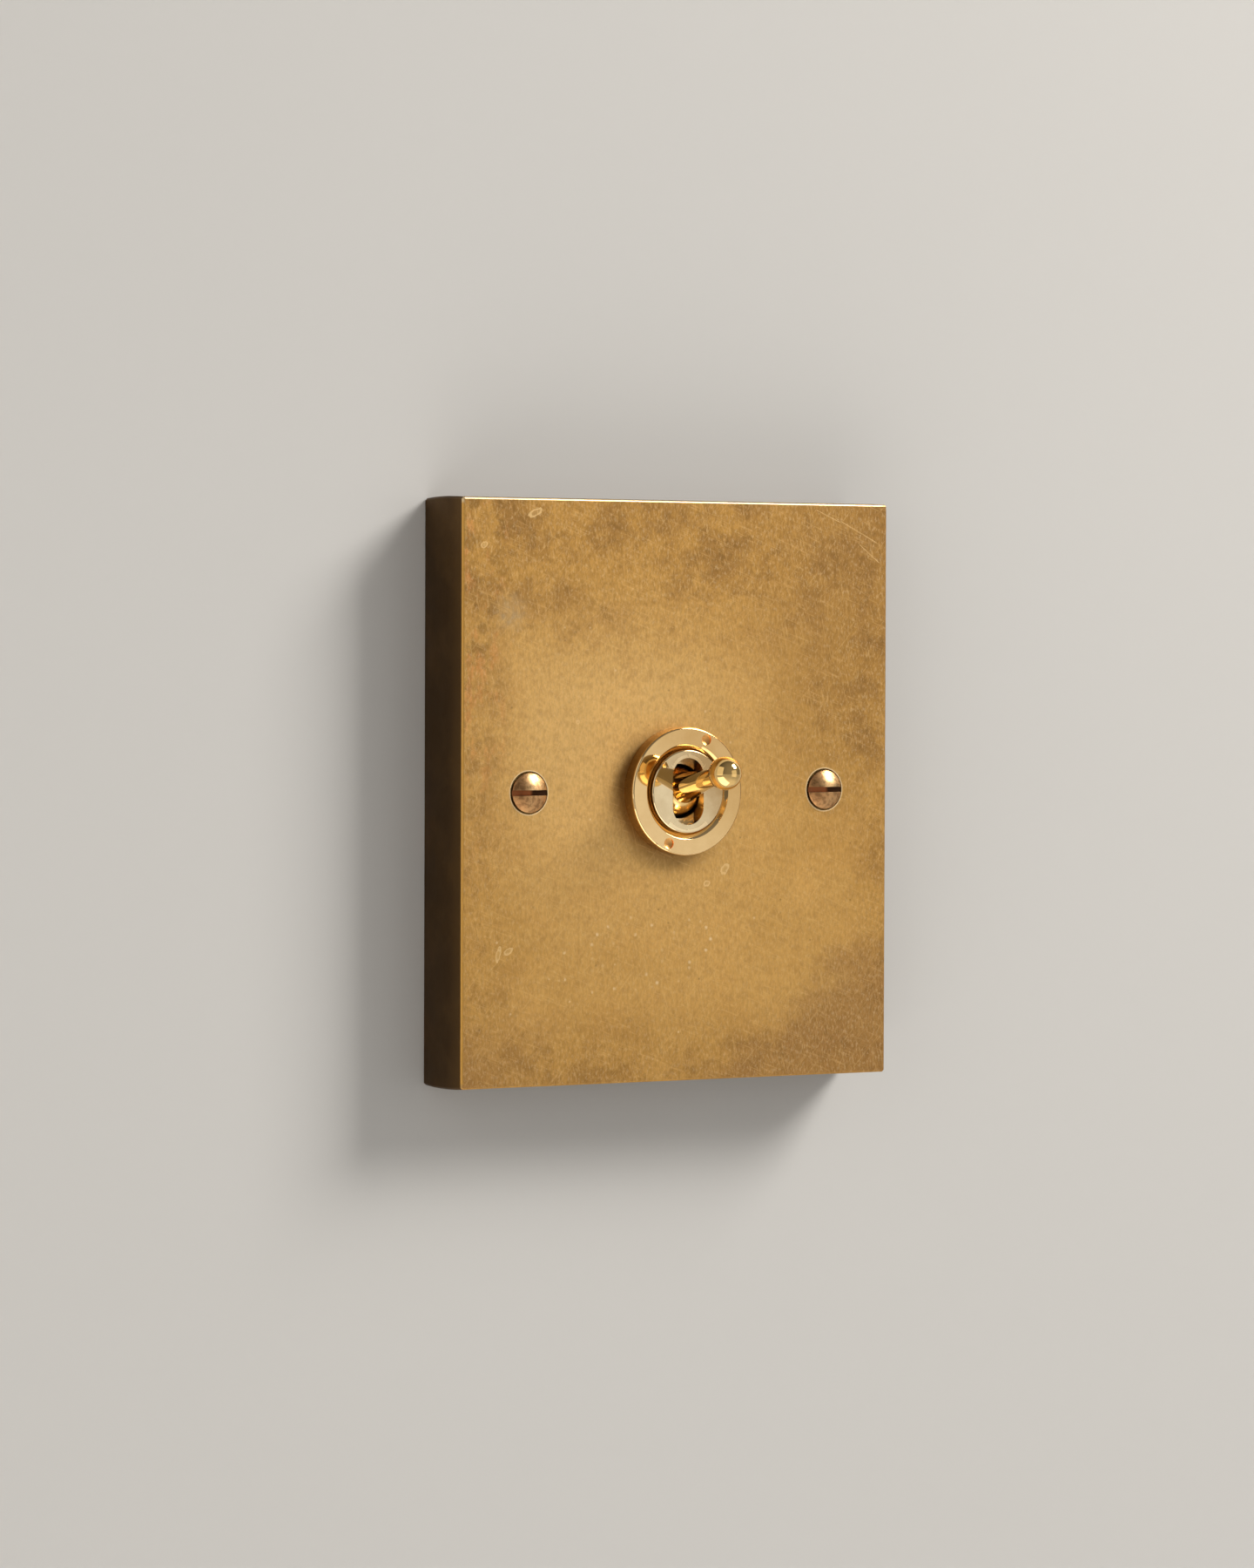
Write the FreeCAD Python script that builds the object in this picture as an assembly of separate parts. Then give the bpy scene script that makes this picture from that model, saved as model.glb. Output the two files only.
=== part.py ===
# Brass dolly light switch: a deep hollow brass plate with a toggle mechanism fixed through its middle.
# Millimetres. The origin is the centre of the plate's back rim, where it meets the wall.
# +X is to the right of someone facing the switch, +Y goes into the wall and +Z is up.
import FreeCAD, Part
import os
from math import asin, cos, radians, sin, sqrt, tan

# Face plate
plate_width = 86.5
plate_height = 100.5
plate_depth = 13.0
plate_web = 2.5
plate_wall = 2.6
side_crown = 0.25
front_edge_radius = 0.4
corner_bevel = 0.35
pocket_radius = 3.0

# Fixing screws, M3.5 with a slotted raised countersunk head
screw_spacing = 60.3
screw_thread_radius = 1.75
screw_neck_radius = 1.55
screw_head_radius = 3.4
screw_head_rim = 0.3
screw_dome_height = 1.15
screw_stands_proud = 1.45
screw_reach = 20.0
screw_slot_width = 0.95
screw_slot_depth = 1.4
screw_hole_clearance = 0.3
screw_well_clearance = 0.3
screw_well_depth = 0.9
screw_boss_radius = 5.2
screw_boss_height = 3.0

# Ring nut on the front, with two holes for a pin spanner
ring_radius = 11.1
ring_height = 2.9
ring_edge_bevel = 0.35
ring_lip_width = 0.75
ring_lip_depth = 0.6
ring_mouth_clearance = 0.35
ring_mouth_depth = 1.2
spanner_hole_radius = 0.95
spanner_hole_depth = 0.4
spanner_hole_circle = 9.7
spanner_hole_angle = 23.0
drill_point_angle = 59.0

# Bush
bush_radius = 7.2
bush_stands_proud = 0.2
bush_edge_bevel = 0.25
bush_hole_clearance = 0.15
thread_clearance = 0.05
slot_width = 6.3
slot_height = 11.6
slot_depth = 3.0
flange_radius = 9.0
flange_thickness = 1.2
spigot_radius = 6.0
spigot_flare = 0.4
keyway_width = 1.8
keyway_depth = 0.9
keyway_cover = 3.2

# Dolly, measured along its own axis from the pivot
pivot_behind_face = 1.8
dolly_rest_tilt = 11.4
dolly_length = 17.05
ball_radius = 2.88
neck_radius = 1.5
stem_middle_radius = 1.9
stem_root_radius = 2.75
boss_radius = 4.45
boss_clearance = 0.3
tail_radius = 3.0
tail_length = 10.5
tail_bore_radius = 2.0
tail_bore_floor = 3.0
pin_radius = 1.0
pin_clearance = 0.05
pin_end_inset = 0.3
pin_chamfer = 0.25

# Plunger and its spring
plunger_clearance = 0.05
plunger_tip_radius = 1.6
plunger_shank_length = 4.6
plunger_gap = 0.05
spring_wire_radius = 0.24
spring_wire_sides = 6
spring_turns = 4
spring_clearance = 0.15

# Locating washer and back nut
washer_radius = 10.5
washer_thickness = 0.8
washer_tab_width = 2.4
washer_tab_reach = 1.2
washer_tab_clearance = 0.15
back_nut_across_flats = 18.0
back_nut_thickness = 2.6
back_nut_to_flange = 0.3

# Case of the mechanism
case_width = 26.0
case_height = 40.0
case_corner = 2.5
case_edge_bevel = 0.6
parting_bevel = 0.3
frame_thickness = 1.2
frame_lip_depth = 3.6
frame_lip_height = 29.0
frame_lip_clearance = 0.1
frame_bend_radius = 1.0
housing_depth = 12.9
housing_front_wall = 2.4
tail_slot_width = 7.4
tail_slot_height = 11.0
cavity_width = 10.0
cavity_height = 25.0
base_depth = 9.5
base_rear_wall = 1.5
barrier_thickness = 1.4
barrier_height = 2.0
rivet_inset = 3.0
rivet_radius = 1.4
rivet_head_radius = 2.4
rivet_head_height = 0.9
rivet_clearance = 0.05

# Rocker and contacts
rocker_rest_tilt = 10.0
rocker_length = 22.5
rocker_width = 6.2
rocker_thickness = 1.0
rocker_end_radius = 2.4
rocker_ear_thickness = 0.9
rocker_ear_height = 3.2
rocker_ear_reach = 0.6
fulcrum_width = 6.0
fulcrum_thickness = 1.2
fulcrum_height = 3.3
fulcrum_gap = 0.05
fulcrum_side_gap = 0.25
contact_arm = 9.5
contact_radius = 1.8
contact_height = 0.9
contact_dome_radius = 3.0
contact_shank_radius = 0.9
contact_shank_length = 2.2
contact_gap = 0.06

# Terminals
terminal_pitch = 10.6
terminal_width = 12.0
terminal_height = 7.0
terminal_clearance = 0.1
wire_hole_radius = 1.8
wire_entry_radius = 2.3
clamp_screw_radius = 1.75
clamp_screw_head_radius = 2.7
clamp_screw_head_height = 1.5
clamp_screw_slot = 0.8
clamp_screw_lift = 0.2
clamp_screw_well = 0.5

# Earth pillar, cast on the back of the plate
earth_inset = 7.4
earth_pillar_radius = 4.0
earth_pillar_height = 5.5
earth_screw_radius = 1.75
earth_screw_length = 5.0
earth_screw_head_radius = 3.3
earth_screw_head_height = 2.0
earth_screw_slot = 0.9
earth_washer_radius = 3.9
earth_washer_thickness = 0.8

# Depths worked out from the sizes above, as Y positions from front to back
plate_front = -plate_depth
web_back = plate_front + plate_web
ring_front = plate_front - ring_height
bush_front = ring_front - bush_stands_proud
pivot_y = plate_front + pivot_behind_face
washer_back = web_back + washer_thickness
back_nut_back = washer_back + back_nut_thickness
flange_front = back_nut_back + back_nut_to_flange
frame_front = flange_front + flange_thickness
housing_front = frame_front + frame_thickness
base_front = housing_front + housing_depth
base_back = base_front + base_depth
terminal_back = base_back - base_rear_wall
wire_y = (base_front + terminal_back) / 2
fulcrum_y = base_front - fulcrum_height
screw_boss_back = web_back + screw_boss_height
earth_pillar_back = web_back + earth_pillar_height
screw_rim_front = plate_front - screw_stands_proud + screw_dome_height
screw_cone_front = screw_rim_front + screw_head_rim

# Other sizes worked out from those above
inside_width = plate_width - 2 * plate_wall
inside_height = plate_height - 2 * plate_wall
earth_x = earth_inset - inside_width / 2
earth_z = earth_inset - inside_height / 2
boss_cavity_radius = boss_radius + boss_clearance
rocker_back_offset = fulcrum_thickness / 2 + fulcrum_gap
rocker_front_offset = rocker_back_offset + rocker_thickness
rocker_ear_inside = fulcrum_width / 2 + fulcrum_side_gap
plunger_tip_centre = fulcrum_y - pivot_y - rocker_front_offset - plunger_tip_radius - plunger_gap
contact_sphere_offset = contact_height - rocker_back_offset - contact_dome_radius
contact_closed_y = (
    fulcrum_y
    + contact_arm * sin(radians(rocker_rest_tilt))
    + contact_sphere_offset * cos(radians(rocker_rest_tilt))
    + contact_dome_radius
    + contact_gap
)

V = FreeCAD.Vector
ORIGIN = V(0, 0, 0)
X_AXIS = V(1, 0, 0)
Y_AXIS = V(0, 1, 0)
PIVOT = V(0, pivot_y, 0)
FULCRUM = V(0, fulcrum_y, 0)
OVERCUT = 1.0


def rod(radius, start, end, x=0.0, z=0.0):
    """A round bar along Y."""
    return Part.makeCylinder(radius, end - start, V(x, start, z), Y_AXIS)


def taper(start_radius, end_radius, start, end, x=0.0, z=0.0):
    """A cone along Y, cut off square at both ends."""
    return Part.makeCone(start_radius, end_radius, end - start, V(x, start, z), Y_AXIS)


def bar(width, height, start, end, x=0.0, z=0.0):
    """A rectangular bar along Y, centred on x and z."""
    return Part.makeBox(width, end - start, height, V(x - width / 2, start, z - height / 2))


def rounded_bar(width, height, radius, start, end):
    """A rectangular bar along Y with its four long edges rounded."""
    square = bar(width, height, start, end)
    long_edges = [e for e in square.Edges if abs(e.tangentAt(e.FirstParameter).y) > 0.99]
    return square.makeFillet(radius, long_edges)


def turned(outline):
    """Revolve an outline about Y. Each step is a (radius, y) point, or a pair of points for an arc."""
    edges = []
    here = V(*outline[0], 0)
    for step in outline[1:] + outline[:1]:
        if isinstance(step[0], tuple):
            through = V(*step[0], 0)
            there = V(*step[1], 0)
            edges.append(Part.Arc(here, through, there).toShape())
        else:
            there = V(*step, 0)
            edges.append(Part.makeLine(here, there))
        here = there
    return Part.Face(Part.Wire(edges)).revolve(ORIGIN, Y_AXIS, 360)


def moved(shape, x=0.0, y=0.0, z=0.0):
    """The same shape somewhere else."""
    copy = shape.copy()
    copy.translate(V(x, y, z))
    return copy


def dome_steps(radius, height, top):
    """Outline of a shallow dome, from its top on the axis to its rim."""
    sphere = (radius ** 2 + height ** 2) / (2 * height)
    half_angle = asin(radius / sphere) / 2
    through = (sphere * sin(half_angle), top + sphere * (1 - cos(half_angle)))
    return [(0, top), (through, (radius, top + height))]


def bowed_block(half_breadth, length):
    """A bar along Z whose two sides bow outwards between the plate's front and its back."""
    right = Part.Arc(
        V(half_breadth, plate_front, 0),
        V(half_breadth + side_crown, plate_front / 2, 0),
        V(half_breadth, 0, 0),
    )
    left = Part.Arc(
        V(-half_breadth, 0, 0),
        V(-half_breadth - side_crown, plate_front / 2, 0),
        V(-half_breadth, plate_front, 0),
    )
    back = Part.makeLine(V(half_breadth, 0, 0), V(-half_breadth, 0, 0))
    front = Part.makeLine(V(-half_breadth, plate_front, 0), V(half_breadth, plate_front, 0))
    face = Part.Face(Part.Wire([right.toShape(), back, left.toShape(), front]))
    face.translate(V(0, 0, -length / 2))
    return face.extrude(V(0, 0, length))


def make_face_plate():
    upright = bowed_block(plate_width / 2, plate_height + 4 * side_crown)
    across = bowed_block(plate_height / 2, plate_width + 4 * side_crown)
    across.rotate(ORIGIN, Y_AXIS, 90)
    body = upright.common(across)

    def depths(edge):
        return sorted(vertex.Point.y for vertex in edge.Vertexes)

    corners = [e for e in body.Edges if depths(e)[-1] - depths(e)[0] > plate_depth / 2]
    body = body.makeChamfer(corner_bevel, corners)
    front_edges = [e for e in body.Edges if depths(e)[-1] < plate_front + 1e-4]
    body = body.makeFillet(front_edge_radius, front_edges)

    body = body.cut(rounded_bar(inside_width, inside_height, pocket_radius, web_back, OVERCUT))
    for x in (-screw_spacing / 2, screw_spacing / 2):
        body = body.fuse(rod(screw_boss_radius, web_back, screw_boss_back, x))
        body = body.cut(screw_hole(x))
    pillar = rod(earth_pillar_radius, web_back, earth_pillar_back, earth_x, earth_z)
    tapped = rod(earth_screw_radius + thread_clearance, web_back, earth_pillar_back, earth_x, earth_z)
    body = body.fuse(pillar).cut(tapped)
    body = body.cut(rod(bush_radius + bush_hole_clearance, plate_front - OVERCUT, web_back + OVERCUT))
    body = body.cut(washer_tab(washer_tab_clearance))
    return body.removeSplitter()


def screw_hole(x):
    """Well for a screw head, its countersink, and the clearance hole behind."""
    well_radius = screw_head_radius + screw_well_clearance
    hole_radius = screw_thread_radius + screw_hole_clearance
    well_floor = plate_front + screw_well_depth
    seat = screw_cone_front + thread_clearance
    seat_radius = screw_head_radius - (well_floor - seat)
    cone_back = seat + screw_head_radius - hole_radius
    well = rod(well_radius, plate_front - OVERCUT, well_floor, x)
    countersink = taper(seat_radius, hole_radius, well_floor, cone_back, x)
    return well.fuse(countersink).fuse(rod(hole_radius, cone_back, screw_boss_back + OVERCUT, x))


def make_plate_screws():
    top = plate_front - screw_stands_proud
    cone_back = screw_cone_front + screw_head_radius - screw_neck_radius
    thread_start = screw_boss_back + screw_hole_clearance
    thread_step = thread_start + screw_thread_radius - screw_neck_radius
    point = screw_thread_radius - screw_neck_radius
    screw = turned(
        dome_steps(screw_head_radius, screw_dome_height, top)
        + [
            (screw_head_radius, screw_cone_front),
            (screw_neck_radius, cone_back),
            (screw_neck_radius, thread_start),
            (screw_thread_radius, thread_step),
            (screw_thread_radius, screw_reach - point),
            (screw_neck_radius, screw_reach),
            (0, screw_reach),
        ]
    )
    slot = bar(4 * screw_head_radius, screw_slot_width, top - OVERCUT, top + screw_slot_depth)
    screw = screw.cut(slot)
    return Part.makeCompound([moved(screw, x) for x in (-screw_spacing / 2, screw_spacing / 2)])


def make_ring_nut():
    bore = bush_radius + thread_clearance
    mouth = bush_radius + ring_mouth_clearance
    mouth_floor = ring_front + ring_mouth_depth
    nut = turned(
        [
            (bore, mouth_floor + mouth - bore),
            (mouth, mouth_floor),
            (mouth, ring_front + ring_lip_depth),
            (mouth + ring_lip_width, ring_front),
            (ring_radius - ring_edge_bevel, ring_front),
            (ring_radius, ring_front + ring_edge_bevel),
            (ring_radius, plate_front),
            (bore, plate_front),
        ]
    )
    for turn in (spanner_hole_angle, spanner_hole_angle + 180):
        x = spanner_hole_circle * sin(radians(turn))
        z = spanner_hole_circle * cos(radians(turn))
        floor = ring_front + spanner_hole_depth
        point = spanner_hole_radius / tan(radians(drill_point_angle))
        nut = nut.cut(rod(spanner_hole_radius, ring_front - OVERCUT, floor, x, z))
        nut = nut.cut(taper(spanner_hole_radius, 0, floor, floor + point, x, z))
    return nut


def make_bush():
    body = turned(
        [
            (0, bush_front),
            (bush_radius - bush_edge_bevel, bush_front),
            (bush_radius, bush_front + bush_edge_bevel),
            (bush_radius, flange_front),
            (flange_radius, flange_front),
            (flange_radius, frame_front),
            (spigot_radius, frame_front),
            (spigot_radius, housing_front - spigot_flare),
            (spigot_radius + spigot_flare, housing_front),
            (0, housing_front),
        ]
    )
    seat_reach = boss_cavity_radius * sqrt(2)
    bore = turned(
        [
            (0, pivot_y - seat_reach),
            (boss_cavity_radius, pivot_y - seat_reach + boss_cavity_radius),
            (boss_cavity_radius, housing_front + OVERCUT),
            (0, housing_front + OVERCUT),
        ]
    )
    body = body.cut(bore)
    slot_straight = slot_height - slot_width
    slot_floor = bush_front + slot_depth
    body = body.cut(bar(slot_width, slot_straight, bush_front - OVERCUT, slot_floor))
    for z in (-slot_straight / 2, slot_straight / 2):
        body = body.cut(rod(slot_width / 2, bush_front - OVERCUT, slot_floor, 0, z))
    keyway_front = bush_front + keyway_cover
    keyway_z = -bush_radius - OVERCUT + keyway_depth
    body = body.cut(bar(keyway_width, 2 * OVERCUT, keyway_front, flange_front, 0, keyway_z))
    return body.cut(cross_pin(pin_radius, bush_radius + OVERCUT))


def cross_pin(radius, half_length):
    """A bar along X through the pivot."""
    return Part.makeCylinder(radius, 2 * half_length, PIVOT - X_AXIS * half_length, X_AXIS)


def make_pivot_pin():
    half_length = bush_radius - pin_end_inset
    pin = cross_pin(pin_radius, half_length)
    ends = [e for e in pin.Edges if isinstance(e.Curve, Part.Circle)]
    return pin.makeChamfer(pin_chamfer, ends)


def make_dolly():
    ball_y = pivot_y - dolly_length
    neck_y = ball_y + sqrt(ball_radius ** 2 - neck_radius ** 2)
    root_y = pivot_y - sqrt(boss_radius ** 2 - stem_root_radius ** 2)
    middle_y = (neck_y + root_y) / 2
    tail_y = pivot_y + sqrt(boss_radius ** 2 - tail_radius ** 2)
    tail_end = pivot_y + tail_length
    lever = turned(
        [
            (0, ball_y - ball_radius),
            ((ball_radius, ball_y), (neck_radius, neck_y)),
            ((stem_middle_radius, middle_y), (stem_root_radius, root_y)),
            ((boss_radius, pivot_y), (tail_radius, tail_y)),
            (tail_radius, tail_end),
            (tail_bore_radius, tail_end),
            (tail_bore_radius, pivot_y + tail_bore_floor),
            (0, pivot_y + tail_bore_floor),
        ]
    )
    lever = lever.cut(cross_pin(pin_radius + pin_clearance, boss_radius + OVERCUT))
    return tipped(lever)


def tipped(shape):
    """The shape turned with the dolly to where it rests, ball upwards."""
    shape.rotate(PIVOT, X_AXIS, -dolly_rest_tilt)
    return shape


def make_plunger():
    tip_y = pivot_y + plunger_tip_centre
    shank_radius = tail_bore_radius - plunger_clearance
    half = sqrt(0.5) * plunger_tip_radius
    plunger = turned(
        [
            (0, tip_y - plunger_shank_length),
            (shank_radius, tip_y - plunger_shank_length),
            (shank_radius, pivot_y + tail_length),
            (plunger_tip_radius, pivot_y + tail_length + shank_radius - plunger_tip_radius),
            (plunger_tip_radius, tip_y),
            ((half, tip_y + half), (0, tip_y + plunger_tip_radius)),
        ]
    )
    return tipped(plunger)


def make_plunger_spring():
    floor = pivot_y + tail_bore_floor
    back = pivot_y + plunger_tip_centre - plunger_shank_length
    coil_radius = tail_bore_radius - spring_clearance - spring_wire_radius
    height = back - floor - 2 * spring_wire_radius
    path = Part.makeHelix(height / spring_turns, height, coil_radius)
    corners = [radians(a) for a in range(0, 361, 360 // spring_wire_sides)]
    section = Part.makePolygon(
        [
            V(coil_radius + spring_wire_radius * cos(a), 0, spring_wire_radius * sin(a))
            for a in corners
        ]
    )
    spring = Part.Wire(path.Edges).makePipeShell([section], True, True)
    spring.rotate(ORIGIN, X_AXIS, -90)
    spring.translate(V(0, floor + spring_wire_radius, 0))
    return tipped(spring)


def washer_tab(clearance=0.0):
    """Tab at the top of the washer, bent forward into the plate, with room round it if asked."""
    width = washer_tab_width + 2 * clearance
    thickness = washer_thickness + 2 * clearance
    start = web_back - washer_tab_reach - clearance
    return bar(width, thickness, start, washer_back, 0, washer_radius - washer_thickness / 2)


def make_locating_washer():
    disc = rod(washer_radius, web_back, washer_back)
    disc = disc.cut(rod(bush_radius + bush_hole_clearance, web_back - OVERCUT, washer_back + OVERCUT))
    key_width = keyway_width - 2 * washer_tab_clearance
    key_height = keyway_depth + bush_hole_clearance
    key_z = -bush_radius + keyway_depth - washer_tab_clearance - key_height / 2
    key = bar(key_width, key_height, web_back, washer_back, 0, key_z)
    return disc.fuse(key).fuse(washer_tab()).removeSplitter()


def make_back_nut():
    corner = back_nut_across_flats / sqrt(3)
    points = [V(corner * cos(radians(a)), washer_back, corner * sin(radians(a))) for a in range(0, 361, 60)]
    hexagon = Part.Face(Part.makePolygon(points)).extrude(V(0, back_nut_thickness, 0))
    flat_radius = back_nut_across_flats / 2
    bevel = (corner - flat_radius) * tan(radians(30))
    bevelled = turned(
        [
            (0, washer_back),
            (corner, washer_back),
            (corner, back_nut_back - bevel),
            (flat_radius, back_nut_back),
            (0, back_nut_back),
        ]
    )
    bore = rod(bush_radius + thread_clearance, washer_back - OVERCUT, back_nut_back + OVERCUT)
    return hexagon.common(bevelled).cut(bore)


def rivet_places():
    reach = case_height / 2 - rivet_inset
    return (-reach, reach)


def rivet_holes(start, end):
    radius = rivet_radius + rivet_clearance
    return Part.makeCompound([rod(radius, start, end, 0, z) for z in rivet_places()])


def make_mounting_frame():
    outside_width = case_width + 2 * (frame_lip_clearance + frame_thickness)
    folded = bar(outside_width, frame_lip_height, frame_front, housing_front + frame_lip_depth)
    bends = [
        e
        for e in folded.Edges
        if all(v.Point.y < housing_front for v in e.Vertexes) and abs(e.CenterOfMass.x) > case_width / 2
    ]
    folded = folded.makeFillet(frame_bend_radius, bends)
    inside = bar(
        case_width + 2 * frame_lip_clearance,
        frame_lip_height + OVERCUT,
        housing_front,
        housing_front + frame_lip_depth + OVERCUT,
    )
    sheet = rounded_bar(case_width, case_height, case_corner, frame_front, housing_front)
    sheet = sheet.fuse(folded.cut(inside)).removeSplitter()
    flare_front = housing_front - spigot_flare
    hole = rod(spigot_radius, frame_front - OVERCUT, housing_front)
    hole = hole.fuse(taper(spigot_radius, spigot_radius + spigot_flare, flare_front, housing_front))
    return sheet.cut(hole).cut(rivet_holes(frame_front - OVERCUT, housing_front + OVERCUT))


def make_switch_housing():
    body = rounded_bar(case_width, case_height, case_corner, housing_front, base_front)
    rear = [e for e in body.Edges if min(v.Point.y for v in e.Vertexes) > base_front - 1e-4]
    body = body.makeChamfer(parting_bevel, rear)
    cavity_front = housing_front + housing_front_wall
    body = body.cut(bar(cavity_width, cavity_height, cavity_front, base_front + OVERCUT))
    body = body.cut(bar(tail_slot_width, tail_slot_height, housing_front - OVERCUT, cavity_front + OVERCUT))
    return body.cut(rivet_holes(housing_front - OVERCUT, base_front + OVERCUT))


def make_terminal_base():
    body = rounded_bar(case_width, case_height, case_corner, base_front, base_back)
    rear = [e for e in body.Edges if min(v.Point.y for v in e.Vertexes) > base_back - 1e-4]
    body = body.makeChamfer(case_edge_bevel, rear)
    front = [e for e in body.Edges if max(v.Point.y for v in e.Vertexes) < base_front + 1e-4]
    body = body.makeChamfer(parting_bevel, front)
    for z in (-terminal_pitch / 2, terminal_pitch / 2):
        width = case_width - 2 * case_corner
        body = body.fuse(bar(width, barrier_thickness, terminal_back, base_back + barrier_height, 0, z))
    pocket_width = terminal_width + 2 * terminal_clearance
    pocket_height = terminal_height + 2 * terminal_clearance
    well_radius = clamp_screw_head_radius + clamp_screw_well
    for z in terminal_places():
        body = body.cut(bar(pocket_width, pocket_height, base_front - OVERCUT, terminal_back, 0, z))
        body = body.cut(rod(well_radius, terminal_back - OVERCUT, base_back + OVERCUT, 0, z))
        body = body.cut(wire_bar(wire_entry_radius, case_width, z))
    return body.cut(rivet_holes(base_front - OVERCUT, base_back + OVERCUT)).removeSplitter()


def terminal_places():
    return (-terminal_pitch, 0.0, terminal_pitch)


def wire_bar(radius, length, z):
    """A bar along X from the far side of a terminal out to the right, where its wire goes in."""
    return Part.makeCylinder(radius, length, V(-terminal_width / 2, wire_y, z), X_AXIS)


def terminal_block(z):
    """A brass block with a wire hole across it and a clamp screw thread from behind."""
    block = bar(terminal_width, terminal_height, base_front, terminal_back, 0, z)
    block = block.cut(wire_bar(wire_hole_radius, terminal_width + OVERCUT, z))
    return block.cut(rod(clamp_screw_radius + thread_clearance, wire_y, terminal_back + OVERCUT, 0, z))


def make_terminal_common():
    blade = bar(fulcrum_width, fulcrum_thickness, fulcrum_y, base_front)
    nose_start = FULCRUM - X_AXIS * (fulcrum_width / 2)
    nose = Part.makeCylinder(fulcrum_thickness / 2, fulcrum_width, nose_start, X_AXIS)
    return terminal_block(0.0).fuse(blade).fuse(nose).removeSplitter()


def make_switched_terminal(side):
    hole_back = base_front + contact_shank_length
    hole = rod(contact_shank_radius, base_front - OVERCUT, hole_back, 0, side * contact_arm)
    return terminal_block(side * terminal_pitch).cut(hole)


def make_fixed_contacts():
    buttons = []
    for z in (-contact_arm, contact_arm):
        head = rod(contact_radius, contact_closed_y, base_front, 0, z)
        shank = rod(contact_shank_radius, base_front, base_front + contact_shank_length, 0, z)
        buttons.append(head.fuse(shank).removeSplitter())
    return Part.makeCompound(buttons)


def make_terminal_screws():
    head_front = terminal_back + clamp_screw_lift
    head_back = head_front + clamp_screw_head_height
    screws = []
    for z in terminal_places():
        screw = rod(clamp_screw_radius, wire_y, head_front, 0, z)
        screw = screw.fuse(rod(clamp_screw_head_radius, head_front, head_back, 0, z))
        slot_floor = head_back - clamp_screw_head_height / 2
        slot = bar(4 * clamp_screw_head_radius, clamp_screw_slot, slot_floor, head_back + OVERCUT, 0, z)
        screws.append(screw.cut(slot).removeSplitter())
    return Part.makeCompound(screws)


def make_housing_rivets():
    rivets = []
    for z in rivet_places():
        rivet = rod(rivet_radius, frame_front, base_back, 0, z)
        rivet = rivet.fuse(rod(rivet_head_radius, frame_front - rivet_head_height, frame_front, 0, z))
        rivet = rivet.fuse(rod(rivet_head_radius, base_back, base_back + rivet_head_height, 0, z))
        rivets.append(rivet.removeSplitter())
    return Part.makeCompound(rivets)


def seesawed(shape):
    """The shape turned with the rocker to where it rests, its lower end pressed back."""
    shape.rotate(FULCRUM, X_AXIS, rocker_rest_tilt)
    return shape


def make_rocker():
    front = fulcrum_y - rocker_front_offset
    back = fulcrum_y - rocker_back_offset
    strip = rounded_bar(rocker_width, rocker_length, rocker_end_radius, front, back)
    for side in (-1, 1):
        ear_x = side * (rocker_ear_inside + rocker_ear_thickness / 2)
        ear = bar(rocker_ear_thickness, rocker_ear_height, front, fulcrum_y + rocker_ear_reach, ear_x)
        bridge_x = side * rocker_ear_inside / 2
        bridge = bar(rocker_ear_inside, rocker_ear_height, front, back, bridge_x)
        strip = strip.fuse(ear).fuse(bridge)
    for z in (-contact_arm, contact_arm):
        strip = strip.cut(rod(contact_shank_radius, front - OVERCUT, back + OVERCUT, 0, z))
    return seesawed(strip.removeSplitter())


def make_rocker_contacts():
    front = fulcrum_y - rocker_front_offset
    back = fulcrum_y - rocker_back_offset
    buttons = []
    for z in (-contact_arm, contact_arm):
        head = rod(contact_radius, back, back + contact_height, 0, z)
        ball = Part.makeSphere(contact_dome_radius, V(0, back + contact_height - contact_dome_radius, z))
        head = head.common(ball)
        buttons.append(head.fuse(rod(contact_shank_radius, front, back, 0, z)).removeSplitter())
    return seesawed(Part.makeCompound(buttons))


def make_earth_washer():
    back = earth_pillar_back + earth_washer_thickness
    disc = rod(earth_washer_radius, earth_pillar_back, back, earth_x, earth_z)
    hole = rod(earth_screw_radius + screw_hole_clearance, earth_pillar_back, back, earth_x, earth_z)
    return disc.cut(hole)


def make_earth_screw():
    head_front = earth_pillar_back + earth_washer_thickness
    head_back = head_front + earth_screw_head_height
    head = rod(earth_screw_head_radius, head_front, head_back, earth_x, earth_z)
    shank = rod(earth_screw_radius, head_front - earth_screw_length, head_front, earth_x, earth_z)
    slot_floor = head_back - earth_screw_head_height / 2
    slot_length = 4 * earth_screw_head_radius
    slot = bar(slot_length, earth_screw_slot, slot_floor, head_back + OVERCUT, earth_x, earth_z)
    return head.fuse(shank).cut(slot).removeSplitter()


PIECES = {
    "face_plate": make_face_plate(),
    "plate_screws": make_plate_screws(),
    "ring_nut": make_ring_nut(),
    "bush": make_bush(),
    "locating_washer": make_locating_washer(),
    "back_nut": make_back_nut(),
    "dolly": make_dolly(),
    "pivot_pin": make_pivot_pin(),
    "plunger": make_plunger(),
    "plunger_spring": make_plunger_spring(),
    "mounting_frame": make_mounting_frame(),
    "switch_housing": make_switch_housing(),
    "terminal_base": make_terminal_base(),
    "housing_rivets": make_housing_rivets(),
    "rocker": make_rocker(),
    "rocker_contacts": make_rocker_contacts(),
    "terminal_common": make_terminal_common(),
    "terminal_upper": make_switched_terminal(1),
    "terminal_lower": make_switched_terminal(-1),
    "fixed_contacts": make_fixed_contacts(),
    "terminal_screws": make_terminal_screws(),
    "earth_screw": make_earth_screw(),
    "earth_washer": make_earth_washer(),
}

os.makedirs("parts", exist_ok=True)
for name, shape in PIECES.items():
    shape.exportStep(f"parts/{name}.step")
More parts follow.
